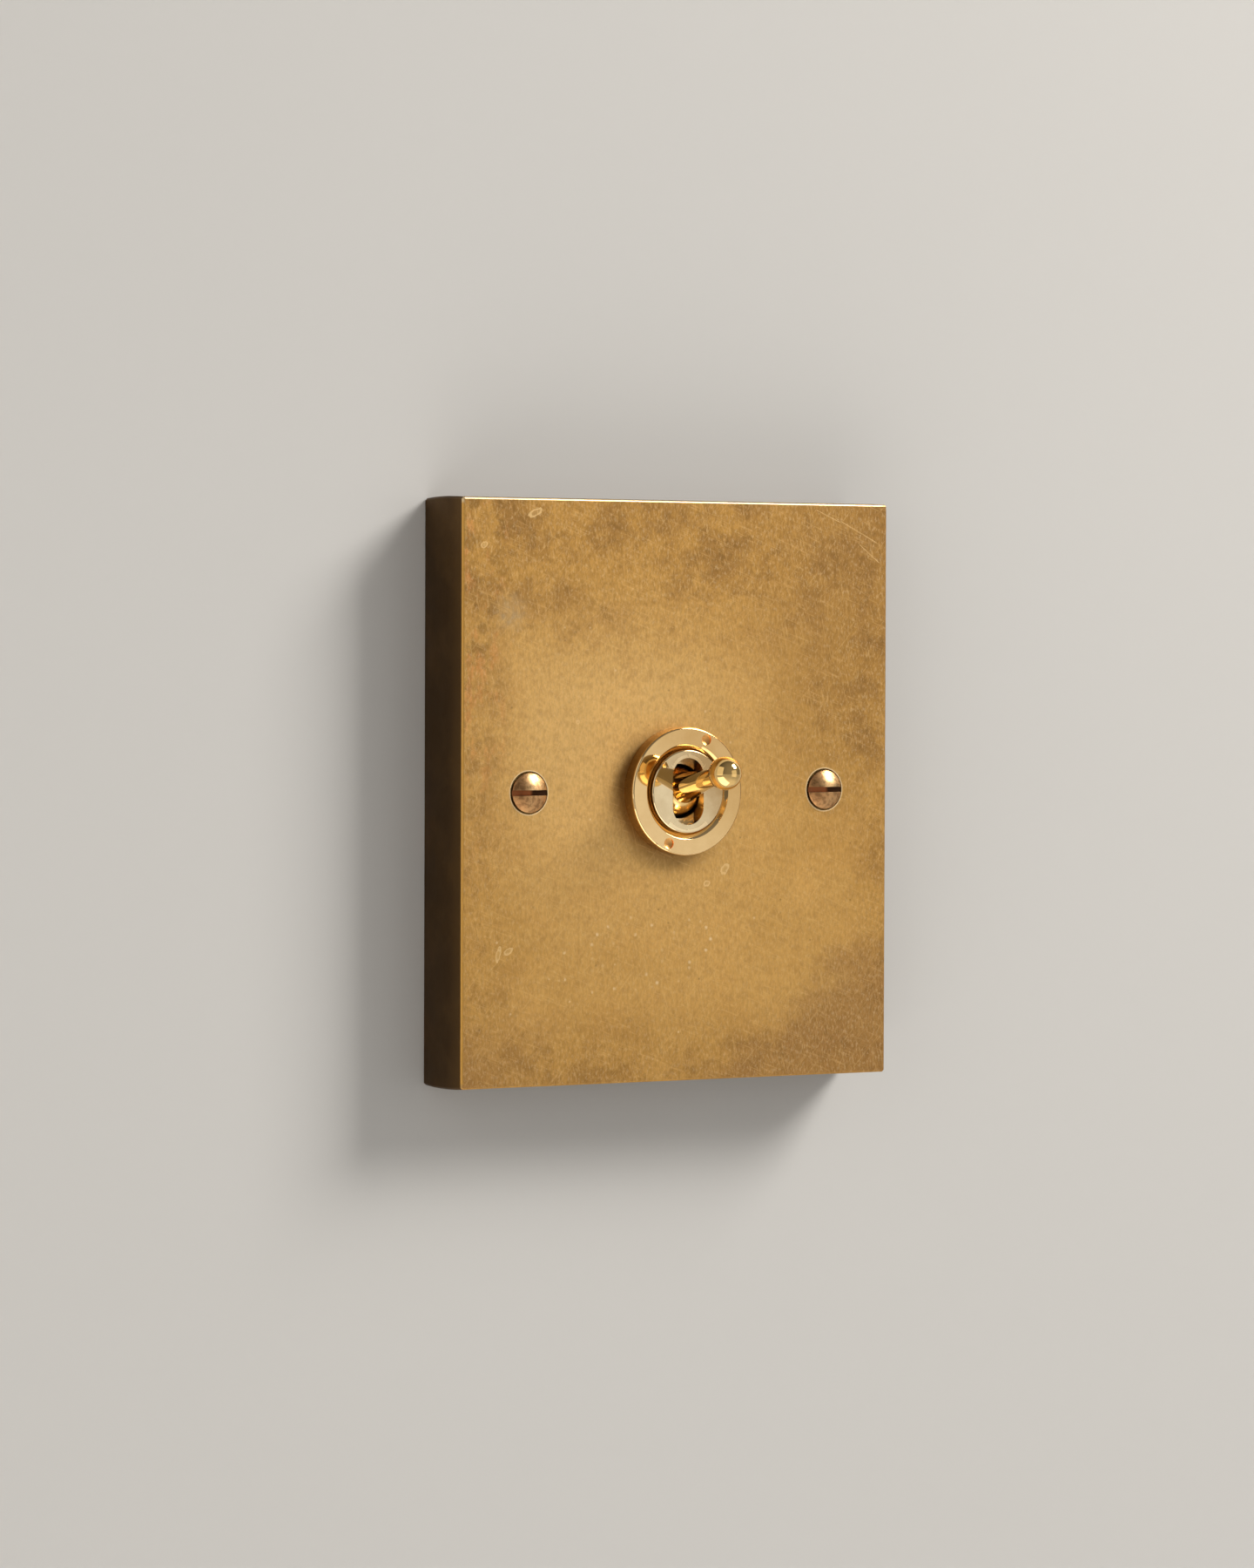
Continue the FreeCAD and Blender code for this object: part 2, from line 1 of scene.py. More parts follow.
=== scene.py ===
from math import atan2, cos, pi, radians, sin, sqrt, tan

import bmesh
import bpy
from mathutils import Matrix, Vector


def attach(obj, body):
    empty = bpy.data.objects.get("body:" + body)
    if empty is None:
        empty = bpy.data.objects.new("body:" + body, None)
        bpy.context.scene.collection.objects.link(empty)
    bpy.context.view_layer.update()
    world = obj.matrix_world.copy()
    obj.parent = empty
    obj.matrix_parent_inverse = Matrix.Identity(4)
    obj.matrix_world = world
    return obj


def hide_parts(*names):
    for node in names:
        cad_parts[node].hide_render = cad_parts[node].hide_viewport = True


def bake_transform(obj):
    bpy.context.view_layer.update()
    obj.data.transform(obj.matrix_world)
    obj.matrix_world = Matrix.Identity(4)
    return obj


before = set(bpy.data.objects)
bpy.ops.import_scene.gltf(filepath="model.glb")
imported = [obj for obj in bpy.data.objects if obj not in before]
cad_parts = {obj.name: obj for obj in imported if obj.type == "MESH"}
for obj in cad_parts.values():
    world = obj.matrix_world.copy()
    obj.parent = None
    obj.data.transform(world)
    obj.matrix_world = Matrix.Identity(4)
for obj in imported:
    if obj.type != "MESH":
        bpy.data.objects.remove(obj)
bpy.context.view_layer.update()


# Face plate: a deep brass tray, machined all over, whose hollow back stands over the wall box.
# Its face was brushed and then left to age, so it is mottled gold and brown, with hairline
# scratches, a few pale drop marks and worn edges, the top edge paler as a painted highlight.
# A paler patch near the middle is a painted sheen, the brushed grain carries painted glints, the face
# is darker to the ring nut's lower left, partly grime and partly painted shadow, and the dark sides
# are mostly painted shade. The back is left as it was cast.
MM = 0.001
weld_reach = 0.003
plate_half_width = 43.25
plate_half_height = 50.25
plate_front = -13.0
pocket_half_width = 40.65
pocket_half_height = 47.65
pocket_skin = 0.2
screw_reach_x = 30.15
well_radius = 3.7
edge_width = 0.42
ring_shade_start = 11.2
ring_shade_end = 15.4
bump_depth = 0.05
brush_stretch = (1.0, 1.0, 0.45)
sheen_middle = (-14.0, plate_front, 10.0)
stain_middle = (-33.7, plate_front, 30.8)
splash_middle = (-8.0, plate_front, -28.0)

face_gold = (0.66, 0.385, 0.118, 1)
face_pale = (0.80, 0.52, 0.205, 1)
face_amber = (0.53, 0.292, 0.077, 1)
face_brown = (0.33, 0.177, 0.056, 1)
face_umber = (0.17, 0.092, 0.03, 1)
face_russet = (0.35, 0.185, 0.07, 1)
face_rust = (0.68, 0.31, 0.10, 1)
face_dark_grain = (0.20, 0.10, 0.02, 1)
face_grey_stain = (0.50, 0.40, 0.25, 1)
face_drop = (0.88, 0.62, 0.29, 1)
pale_wear_and_glint = (0.92, 0.72, 0.42, 1)
edge_gold = (0.80, 0.43, 0.10, 1)
side_shade_brown = (0.078, 0.041, 0.013, 1)
side_gold = (0.20, 0.108, 0.034, 1)
cast_brass = (0.50, 0.33, 0.12, 1)


def settle(piece):
    """Turns a piece and its modifiers into one plain mesh."""
    depsgraph = bpy.context.evaluated_depsgraph_get()
    mesh = bpy.data.meshes.new_from_object(piece.evaluated_get(depsgraph))
    piece.modifiers.clear()
    piece.data = mesh


def shade(piece, sharp_angle=32):
    """Shades curves smooth and keeps flats flat, with sharp edges where faces meet at an angle."""
    shape = bmesh.new()
    shape.from_mesh(piece.data)
    for face in shape.faces:
        face.smooth = True
    for edge in shape.edges:
        edge.smooth = len(edge.link_faces) == 2 and edge.calc_face_angle(pi) < radians(sharp_angle)
    shape.to_mesh(piece.data)
    shape.free()
    weighted = piece.modifiers.new("flat faces", "WEIGHTED_NORMAL")
    weighted.keep_sharp = True
    weighted.weight = 90
    settle(piece)


def place_mesh(name, shape):
    """A new piece from a bmesh."""
    mesh = bpy.data.meshes.new(name)
    shape.to_mesh(mesh)
    shape.free()
    piece = bpy.data.objects.new(name, mesh)
    bpy.context.scene.collection.objects.link(piece)
    return piece


def fair_copy(node_name, name):
    """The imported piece's own form, with its facets joined up and its curves shaded smooth."""
    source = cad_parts[node_name].data
    corners = [v.co[:] for v in source.vertices]
    mesh = bpy.data.meshes.new("form")
    mesh.from_pydata(corners, [], [p.vertices[:] for p in source.polygons])
    shape = bmesh.new()
    shape.from_mesh(mesh)
    bpy.data.meshes.remove(mesh)
    bmesh.ops.remove_doubles(shape, verts=shape.verts, dist=weld_reach * MM)
    piece = place_mesh(name, shape)
    shade(piece)
    return piece


def dress(piece, material):
    """Gives a piece one material in place of any it had."""
    piece.data.materials.clear()
    piece.data.materials.append(material)


def finish_piece(piece, material, body, slot, *nodes):
    """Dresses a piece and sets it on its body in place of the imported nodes."""
    dress(piece, material)
    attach(piece, body)
    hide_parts(*nodes)


def feed(tree, socket, value):
    """Sets a socket to a plain value, or links another node's output to it."""
    if isinstance(value, bpy.types.NodeSocket):
        tree.links.new(value, socket)
    else:
        socket.default_value = value


def node(tree, kind, feeds=None, **settings):
    """A node in a tree, with its settings and what feeds its sockets."""
    made = tree.nodes.new(kind)
    for key, value in settings.items():
        setattr(made, key, value)
    for key, value in (feeds or {}).items():
        feed(tree, made.inputs[key], value)
    return made


def maths(tree, operation, first, second=0.0):
    return node(tree, "ShaderNodeMath", {0: first, 1: second}, operation=operation).outputs[0]


def times(tree, first, second):
    return maths(tree, "MULTIPLY", first, second)


def raised(tree, base, value, share):
    """The base with a share of the value added."""
    return maths(tree, "ADD", times(tree, value, share), base)


def highest(tree, first, *others):
    """The highest of several values."""
    for other in others:
        first = maths(tree, "MAXIMUM", first, other)
    return first


def hypotenuse(tree, first, second):
    """How far off a place is that lies first one way and second across it."""
    squares = [maths(tree, "POWER", side, 2.0) for side in (first, second)]
    return maths(tree, "SQRT", maths(tree, "ADD", *squares))


def vectors(tree, operation, first, second):
    return node(tree, "ShaderNodeVectorMath", {0: first, 1: second}, operation=operation).outputs


def axes(tree, vector):
    """The X, Y and Z of a vector."""
    return node(tree, "ShaderNodeSeparateXYZ", {0: vector}).outputs


def slantwise(tree, xyz, x_share, z_share):
    """How far a place lies along a slanting line across the face."""
    return raised(tree, times(tree, xyz["X"], x_share), xyz["Z"], z_share)


def turned_about_y(tree, vector, angle):
    """A place turned about the Y axis."""
    feeds = {"Vector": vector, "Angle": angle}
    return node(tree, "ShaderNodeVectorRotate", feeds, rotation_type="Y_AXIS").outputs[0]


def ramp(tree, value, low, high):
    """Rises smoothly from 0 at low to 1 at high."""
    feeds = {"Value": value, "From Min": low, "From Max": high}
    return node(tree, "ShaderNodeMapRange", feeds, interpolation_type="SMOOTHSTEP").outputs[0]


def fall(tree, value, low, high):
    """Falls smoothly from 1 at low to 0 at high."""
    return maths(tree, "SUBTRACT", 1.0, ramp(tree, value, low, high))


def tint(tree, amount, colour, over):
    """The second colour laid over the first where amount is high."""
    feeds = {0: amount, 6: colour, 7: over}
    return node(tree, "ShaderNodeMix", feeds, data_type="RGBA").outputs[2]


def lay(tree, tone, colour, share, *masks):
    """The tone with a share of a colour laid over it where all the masks are high."""
    amount = share
    for mask in masks:
        amount = times(tree, mask, amount)
    return tint(tree, amount, tone, colour)


def new_group(kind, name, inputs, outputs):
    """An empty node group with named sockets, and its input and output nodes."""
    tree = bpy.data.node_groups.new(name, kind)
    for side, sockets in (("INPUT", inputs), ("OUTPUT", outputs)):
        for label, socket in sockets.items():
            tree.interface.new_socket(label, in_out=side, socket_type="NodeSocket" + socket)
    return tree, tree.nodes.new("NodeGroupInput").outputs, tree.nodes.new("NodeGroupOutput").inputs


def effect(tree, group, **feeds):
    """A shared effect placed in a material with its own values."""
    made = node(tree, "ShaderNodeGroup", node_tree=group)
    for key, value in feeds.items():
        feed(tree, made.inputs[key.title()], value)
    return made.outputs[0]


def new_material(name):
    """A material with a bare Principled surface, and its place on the piece in millimetres."""
    material = bpy.data.materials.new(name)
    material.use_nodes = True
    tree = material.node_tree
    tree.nodes.clear()
    surface = node(tree, "ShaderNodeBsdfPrincipled")
    node(tree, "ShaderNodeOutputMaterial", {"Surface": surface.outputs[0]})
    coordinates = node(tree, "ShaderNodeTexCoord").outputs["Object"]
    feeds = {"Vector": coordinates, "Scale": 1 / MM}
    place = node(tree, "ShaderNodeVectorMath", feeds, operation="SCALE").outputs[0]
    return material, tree, surface.inputs, place


def coat(tree, surface, tone, rough, metallic=1.0):
    """Sets a surface's colour, how rough it is and whether it is metal."""
    for name, value in (("Base Color", tone), ("Roughness", rough), ("Metallic", metallic)):
        feed(tree, surface[name], value)


def roughen(tree, surface, strength, height):
    """Gives a surface fine bumps."""
    feeds = {"Strength": strength, "Distance": bump_depth * MM, "Height": height}
    tree.links.new(node(tree, "ShaderNodeBump", feeds).outputs[0], surface["Normal"])


# Cloudy patches of a chosen size, for patina and stains
mottle, taken, given = new_group(
    "ShaderNodeTree",
    "Mottle",
    {"Vector": "Vector", "Size": "Float", "Low": "Float", "High": "Float"},
    {"Mask": "Float"},
)
per_mm = maths(mottle, "DIVIDE", 1.0, taken["Size"])
cloud = node(
    mottle,
    "ShaderNodeTexNoise",
    {"Vector": taken["Vector"], "Scale": per_mm, "Detail": 6.0, "Roughness": 0.62},
).outputs[0]
mottle.links.new(ramp(mottle, cloud, taken["Low"], taken["High"]), given["Mask"])

# Straight hairline scratches, turned about the plate's own axis
line_softness = 0.1
hairlines, taken, given = new_group(
    "ShaderNodeTree",
    "Hairlines",
    {"Vector": "Vector", "Turn": "Float", "Spacing": "Float", "Length": "Float", "Rarity": "Float"},
    {"Mask": "Float"},
)
per_width = maths(hairlines, "DIVIDE", 1.0, taken["Spacing"])
per_length = maths(hairlines, "DIVIDE", 1.0, taken["Length"])
stretch = node(
    hairlines, "ShaderNodeCombineXYZ", {"X": per_width, "Y": per_length, "Z": per_length}
).outputs[0]
lined_up = turned_about_y(hairlines, taken["Vector"], taken["Turn"])
stretched = vectors(hairlines, "MULTIPLY", lined_up, stretch)[0]
streak = node(
    hairlines,
    "ShaderNodeTexNoise",
    {"Vector": stretched, "Scale": 1.0, "Detail": 3.0, "Roughness": 0.7},
).outputs[0]
line_end = maths(hairlines, "ADD", taken["Rarity"], line_softness)
hairlines.links.new(ramp(hairlines, streak, taken["Rarity"], line_end), given["Mask"])

# Tiny scattered specks, only a share of the cells having one
specks, taken, given = new_group(
    "ShaderNodeTree",
    "Specks",
    {"Vector": "Vector", "Spacing": "Float", "Size": "Float", "Share": "Float"},
    {"Mask": "Float"},
)
per_mm = maths(specks, "DIVIDE", 1.0, taken["Spacing"])
cells = node(specks, "ShaderNodeTexVoronoi", {"Vector": taken["Vector"], "Scale": per_mm})
reach = maths(specks, "DIVIDE", taken["Size"], taken["Spacing"])
dot = fall(specks, cells.outputs["Distance"], 0.0, reach)
pick = node(specks, "ShaderNodeSeparateColor", {0: cells.outputs["Color"]}).outputs[0]
chosen = maths(specks, "LESS_THAN", pick, taken["Share"])
specks.links.new(times(specks, dot, chosen), given["Mask"])

# One dried drop: a faint patch with a stronger, ragged rim, at a place of its own
drop_mark, taken, given = new_group(
    "ShaderNodeTree",
    "Drop Mark",
    {"Vector": "Vector", "Middle": "Vector", "Turn": "Float", "Length": "Float", "Width": "Float"},
    {"Mask": "Float"},
)
from_middle = vectors(drop_mark, "SUBTRACT", taken["Vector"], taken["Middle"])[0]
xyz = axes(drop_mark, turned_about_y(drop_mark, from_middle, taken["Turn"]))
ragged = node(
    drop_mark, "ShaderNodeTexNoise", {"Vector": taken["Vector"], "Scale": 1.6, "Detail": 3.0}
).outputs[0]
shift = maths(drop_mark, "SUBTRACT", ragged, 0.5)
long_way = maths(drop_mark, "DIVIDE", xyz["X"], taken["Length"])
short_way = maths(drop_mark, "DIVIDE", xyz["Z"], taken["Width"])
long_way = maths(drop_mark, "ADD", long_way, shift)
short_way = maths(drop_mark, "ADD", short_way, shift)
away = hypotenuse(drop_mark, long_way, short_way)
rim = raised(drop_mark, 0.25, ramp(drop_mark, away, 0.35, 0.75), 0.75)
drop_mark.links.new(times(drop_mark, fall(drop_mark, away, 0.8, 1.0), rim), given["Mask"])

aged_brass, tree, surface, place = new_material("aged brass")
xyz = axes(tree, place)
off_x = maths(tree, "ABSOLUTE", xyz["X"])
off_z = maths(tree, "ABSOLUTE", xyz["Z"])
brushed = vectors(tree, "MULTIPLY", place, brush_stretch)[0]

# What the patina is mixed from, coarse to fine
clouds = effect(tree, mottle, vector=place, size=26.0, low=0.36, high=0.64)
blotches = effect(tree, mottle, vector=place, size=8.0, low=0.42, high=0.64)
edge_spots = effect(tree, mottle, vector=place, size=3.4, low=0.50, high=0.62)
rust_spots = effect(tree, mottle, vector=brushed, size=2.3, low=0.52, high=0.66)
freckles = effect(tree, mottle, vector=place, size=1.6, low=0.44, high=0.68)
grain = effect(tree, mottle, vector=brushed, size=0.5, low=0.40, high=0.62)
pale_grain_glints = effect(tree, mottle, vector=brushed, size=0.36, low=0.50, high=0.66)
patchy = raised(tree, 0.25, blotches, 0.75)
scratches = highest(
    tree,
    effect(tree, hairlines, vector=place, turn=0.24, spacing=0.26, length=5.0, rarity=0.57),
    effect(tree, hairlines, vector=place, turn=1.22, spacing=0.28, length=5.0, rarity=0.57),
    effect(tree, hairlines, vector=place, turn=-0.75, spacing=0.3, length=7.0, rarity=0.58),
)
pale_specks = effect(tree, specks, vector=place, spacing=2.6, size=0.34, share=0.10)
dark_specks = effect(tree, specks, vector=place, spacing=2.1, size=0.3, share=0.07)

# Where it lies on the face: each mask's limits are millimetres from the plate's middle
painted_sheen = fall(tree, vectors(tree, "DISTANCE", place, sheen_middle)["Value"], 6.0, 44.0)
foot_band = fall(tree, xyz["Z"], -51.0, -34.0)
bands = highest(
    tree,
    ramp(tree, xyz["Z"], 14.0, 42.0),
    times(tree, ramp(tree, xyz["X"], 33.0, 43.0), 0.7),
    times(tree, ramp(tree, xyz["X"], 14.0, 40.0), ramp(tree, xyz["Z"], -14.0, 14.0)),
    times(tree, fall(tree, xyz["X"], -44.0, -26.0), 0.6),
    times(tree, foot_band, 0.8),
)
low_right = raised(tree, slantwise(tree, xyz, 0.60, -0.80), clouds, 9.0)
lower_corner = ramp(tree, low_right, 45.0, 54.0)
high_corner = times(tree, ramp(tree, xyz["X"], 4.0, 36.0), ramp(tree, xyz["Z"], -6.0, 30.0))
foot_corner = times(tree, fall(tree, xyz["X"], -43.0, -22.0), foot_band)
left_edge = times(tree, fall(tree, xyz["X"], -42.0, -30.0), ramp(tree, xyz["Z"], -20.0, 24.0))
from_axis = hypotenuse(tree, xyz["X"], xyz["Z"])
by_ring = fall(tree, from_axis, ring_shade_start, ring_shade_end)
ring_shadow_side = ramp(tree, slantwise(tree, xyz, -0.75, -0.66), -6.0, 11.0)
stain = fall(tree, vectors(tree, "DISTANCE", place, stain_middle)["Value"], 0.6, 4.6)
aged = highest(tree, bands, lower_corner)

tone = lay(tree, face_gold, face_amber, 0.55, clouds)
# Painted sheen: the face is paler round a spot above and left of its middle, where a soft light
# reflects.
tone = lay(tree, tone, face_pale, 0.52, painted_sheen)
tone = lay(tree, tone, face_amber, 0.88, bands)
tone = lay(tree, tone, face_brown, 0.8, bands, blotches)
tone = lay(tree, tone, face_russet, 0.6, lower_corner)
tone = lay(tree, tone, face_brown, 0.45, high_corner)
tone = lay(tree, tone, face_russet, 0.6, foot_corner)
tone = lay(tree, tone, face_rust, 0.75, left_edge, rust_spots)
tone = lay(tree, tone, face_umber, 0.45, left_edge, edge_spots)
tone = lay(tree, tone, face_umber, 0.45, freckles, bands, patchy)
tone = lay(tree, tone, face_brown, 0.22, freckles)
tone = lay(tree, tone, face_dark_grain, raised(tree, 0.17, aged, 0.16), grain)
# Pale brushed grain, partly real grain and partly painted glints.
tone = lay(tree, tone, pale_wear_and_glint, raised(tree, 0.12, aged, 0.09), pale_grain_glints)
# Darker round the ring nut, partly grime and partly a painted shadow falling to its lower left.
tone = lay(tree, tone, face_umber, 0.6, by_ring, ring_shadow_side)
tone = lay(tree, tone, face_grey_stain, 0.6, stain, raised(tree, 0.3, freckles, 0.5))
tone = lay(tree, tone, face_pale, 0.24, scratches)
tone = lay(tree, tone, pale_wear_and_glint, 0.5, pale_specks)
tone = lay(tree, tone, face_umber, 0.6, dark_specks)

# Dried drops and single scratches: x, z, turn, length and width
marks = (
    (-29.0, 47.8, 0.35, 1.6, 0.7),
    (-39.1, 42.2, 0.6, 0.9, 0.6),
    (9.5, -13.6, 0.9, 1.3, 0.8),
    (5.8, -16.1, 0.0, 0.7, 0.6),
    (-36.1, -27.4, 1.3, 1.5, 0.5),
    (-34.2, -27.0, 0.5, 1.1, 0.6),
    (37.0, 45.5, -0.45, 5.0, 0.10),
    (31.0, 48.0, -0.40, 3.0, 0.10),
    (39.5, 41.6, -0.65, 3.0, 0.10),
    (-20.5, 12.0, 0.0, 0.4, 0.4),
)
for mark_x, mark_z, turn, length, width in marks:
    middle = (mark_x, plate_front, mark_z)
    mark = effect(tree, drop_mark, vector=place, middle=middle, turn=turn, length=length, width=width)
    tone = lay(tree, tone, face_drop, 0.6, mark)
splash = effect(tree, drop_mark, vector=place, middle=splash_middle, turn=0.15, length=19.0, width=7.0)
splash_dots = effect(tree, specks, vector=place, spacing=1.1, size=0.5, share=0.16)
tone = lay(tree, tone, pale_wear_and_glint, 0.75, splash_dots, splash)

# The sides, dark brown as painted shade, the worn edges, paler on top as a painted highlight, the
# mouths of the screw wells and the cast hollow behind
behind_face = ramp(tree, xyz["Y"], plate_front + 0.25, plate_front + 0.6)
on_face = maths(tree, "SUBTRACT", 1.0, behind_face)
side_marks = effect(tree, mottle, vector=place, size=11.0, low=0.40, high=0.75)
# Painted shade: the sides are dark brown with some patina, and lighter near the face as painted light.
side_patina_and_shade = lay(tree, side_shade_brown, side_gold, 0.3, side_marks)
side_lit_near_face = fall(tree, xyz["Y"], plate_front, plate_front + 5.0)
side_patina_and_shade = lay(tree, side_patina_and_shade, side_gold, 0.4, side_lit_near_face)
tone = tint(tree, behind_face, tone, side_patina_and_shade)

past_x = maths(tree, "SUBTRACT", off_x, plate_half_width - edge_width)
past_z = maths(tree, "SUBTRACT", off_z, plate_half_height - edge_width)
worn_lit_edge = times(tree, ramp(tree, highest(tree, past_x, past_z), 0.0, 0.25), on_face)
# The edges are worn gold, and the top edge is paler as a painted highlight.
top_edge_lit = ramp(tree, xyz["Z"], plate_half_height - 1.2, plate_half_height - 0.6)
on_right = ramp(tree, xyz["X"], plate_half_width - 1.2, plate_half_width - 0.6)
on_foot = fall(tree, xyz["Z"], 0.6 - plate_half_height, 1.2 - plate_half_height)
edge_wear_and_highlight_share = raised(tree, 0.8, highest(tree, on_right, on_foot), -0.5)
tone = lay(tree, tone, tint(tree, top_edge_lit, edge_gold, pale_wear_and_glint), edge_wear_and_highlight_share, worn_lit_edge)

from_screw = hypotenuse(tree, maths(tree, "SUBTRACT", off_x, screw_reach_x), xyz["Z"])
mouth = fall(tree, from_screw, well_radius + 0.05, well_radius + 0.3)
tone = lay(tree, tone, pale_wear_and_glint, 0.7, mouth, on_face)

inside_x = maths(tree, "SUBTRACT", pocket_half_width + pocket_skin, off_x)
inside_z = maths(tree, "SUBTRACT", pocket_half_height + pocket_skin, off_z)
in_pocket = ramp(tree, maths(tree, "MINIMUM", inside_x, inside_z), 0.0, 0.1)
in_pocket = times(tree, in_pocket, behind_face)
tone = tint(tree, in_pocket, tone, tint(tree, freckles, cast_brass, face_amber))

rough = raised(tree, 0.45, blotches, 0.06)
rough = raised(tree, rough, bands, 0.06)
rough = raised(tree, rough, worn_lit_edge, -0.12)
rough = raised(tree, rough, in_pocket, 0.12)
coat(tree, surface, tone, rough)
roughen(tree, surface, 0.12, raised(tree, times(tree, grain, 0.6), scratches, -0.6))

face_plate = fair_copy("face_plate", "aged_face_plate")
finish_piece(face_plate, aged_brass, "plate", "aged_brass", "face_plate")


# Fixing screws: two M3.5 machine screws in brass with slotted raised countersunk heads.
# They sit in counterbored wells in the face and run into the lugs of the wall box. Their domes are
# coppery with tarnish, paler to the right, partly wear and partly painted highlight, and darker on
# the lower half as painted shade. Their slots are tarnished and painted black at the right end as
# painted shade, and a painted shadow darkens the underside of the head.
screw_top = plate_front - 1.45
screw_head_radius = 3.4
screw_dome = 1.15
screw_head_rim = 0.3
screw_neck_radius = 1.55
screw_core_radius = 1.5
screw_thread_radius = 1.75
screw_thread_ridge = 0.21
screw_thread_pitch = 0.6
screw_thread_start = -7.0
screw_thread_lead = 0.3
screw_thread_tail = 1.0
screw_end = 20.0
screw_end_bevel = 0.4
screw_edge_break = 0.05
screw_slot_half = 0.475
screw_slot_floor = screw_top + 1.4
cutter_front = -16.0
cutter_reach = 6.0

dome_copper = (0.55, 0.29, 0.12, 1)
dome_worn_and_lit = (0.84, 0.56, 0.27, 1)
dome_tarnish = (0.50, 0.25, 0.10, 1)
dome_shaded_low = (0.52, 0.265, 0.105, 1)
dome_dark = (0.17, 0.075, 0.03, 1)
slot_red = (0.28, 0.095, 0.035, 1)
slot_shade_black = (0.035, 0.016, 0.008, 1)
head_shade = (0.06, 0.028, 0.012, 1)
shank_brass = (0.72, 0.50, 0.22, 1)


def arc(start, through, end, steps):
    """Points along the arc through three (radius, y) points, without its start."""
    a, b, c = Vector(start), Vector(through), Vector(end)
    d = 2 * (a.x * (b.y - c.y) + b.x * (c.y - a.y) + c.x * (a.y - b.y))
    ux = (a.dot(a) * (b.y - c.y) + b.dot(b) * (c.y - a.y) + c.dot(c) * (a.y - b.y)) / d
    uy = (a.dot(a) * (c.x - b.x) + b.dot(b) * (a.x - c.x) + c.dot(c) * (b.x - a.x)) / d
    middle = Vector((ux, uy))
    radius = (a - middle).length
    angles = [atan2(*(p - middle).yx) for p in (a, b, c)]
    for i in (1, 2):
        while angles[i] - angles[i - 1] > pi:
            angles[i] -= 2 * pi
        while angles[i] - angles[i - 1] < -pi:
            angles[i] += 2 * pi
    swing = angles[2] - angles[0]
    turns = [angles[0] + swing * k / steps for k in range(1, steps + 1)]
    return [(middle.x + radius * cos(t), middle.y + radius * sin(t)) for t in turns]


def rounded(outline, steps=5):
    """The closed outline with an arc at each corner that states a radius."""
    points = []
    for i, corner in enumerate(outline):
        here = Vector(corner[:2])
        if len(corner) == 2:
            points.append(corner)
            continue
        to_last = (Vector(outline[i - 1][:2]) - here).normalized()
        to_next = (Vector(outline[(i + 1) % len(outline)][:2]) - here).normalized()
        half = to_last.angle(to_next) / 2
        start = here + to_last * corner[2] / tan(half)
        end = here + to_next * corner[2] / tan(half)
        middle = here + (to_last + to_next).normalized() * corner[2] / sin(half)
        through = middle + (here - middle).normalized() * corner[2]
        points += [tuple(start)] + arc(start, through, end, steps)
    return points


def turned(name, outline, sides=96):
    """A closed (radius, y) outline in millimetres, turned about Y. Points on the axis become poles."""
    shape = bmesh.new()
    angles = [2 * pi * k / sides for k in range(sides)]
    rings = []
    for radius, y in outline:
        if radius < 1e-6:
            rings.append([shape.verts.new((0, y * MM, 0))])
            continue
        corners = [(radius * sin(t) * MM, y * MM, radius * cos(t) * MM) for t in angles]
        rings.append([shape.verts.new(corner) for corner in corners])
    for first, second in zip(rings, rings[1:] + rings[:1]):
        for k in range(sides):
            corners = [first[k % len(first)], first[(k + 1) % len(first)]]
            corners += [second[(k + 1) % len(second)], second[k % len(second)]]
            face = list(dict.fromkeys(corners))
            if len(face) > 2:
                shape.faces.new(face)
    bmesh.ops.recalc_face_normals(shape, faces=shape.faces)
    return place_mesh(name, shape)


def slab(outline, start, end):
    """An (x, z) outline in millimetres, drawn out along Y, for cutting with."""
    shape = bmesh.new()
    front = [shape.verts.new((x * MM, start * MM, z * MM)) for x, z in outline]
    back = [shape.verts.new((x * MM, end * MM, z * MM)) for x, z in outline]
    shape.faces.new(front)
    shape.faces.new(back)
    for k in range(len(front)):
        n = (k + 1) % len(front)
        shape.faces.new((front[k], front[n], back[n], back[k]))
    bmesh.ops.recalc_face_normals(shape, faces=shape.faces)
    return place_mesh("cutter", shape)


def oblong(half_width, low, high):
    """The (x, z) corners of an oblong that is even about X."""
    return [(-half_width, low), (half_width, low), (half_width, high), (-half_width, high)]


def cut(piece, cutter):
    """Takes the cutter's shape out of the piece."""
    boolean = piece.modifiers.new("cut", "BOOLEAN")
    boolean.operation = "DIFFERENCE"
    boolean.solver = "EXACT"
    boolean.object = cutter
    settle(piece)
    bpy.data.objects.remove(cutter)


def ease_edges(piece, width, angle=40, segments=2):
    """Breaks the sharp edges, as a file or long use would."""
    bevel = piece.modifiers.new("eased", "BEVEL")
    bevel.width = width * MM
    bevel.segments = segments
    bevel.limit_method = "ANGLE"
    bevel.angle_limit = radians(angle)
    bevel.use_clamp_overlap = True
    settle(piece)


def set_sizes(piece, tree, sizes):
    """A Geometry Nodes tree on a piece, its inputs set by name, and the piece made a plain mesh."""
    modifier = piece.modifiers.new(tree.name, "NODES")
    modifier.node_group = tree
    for item in tree.interface.items_tree:
        if item.item_type == "SOCKET" and item.in_out == "INPUT" and item.name in sizes:
            modifier[item.identifier] = sizes[item.name]
    settle(piece)


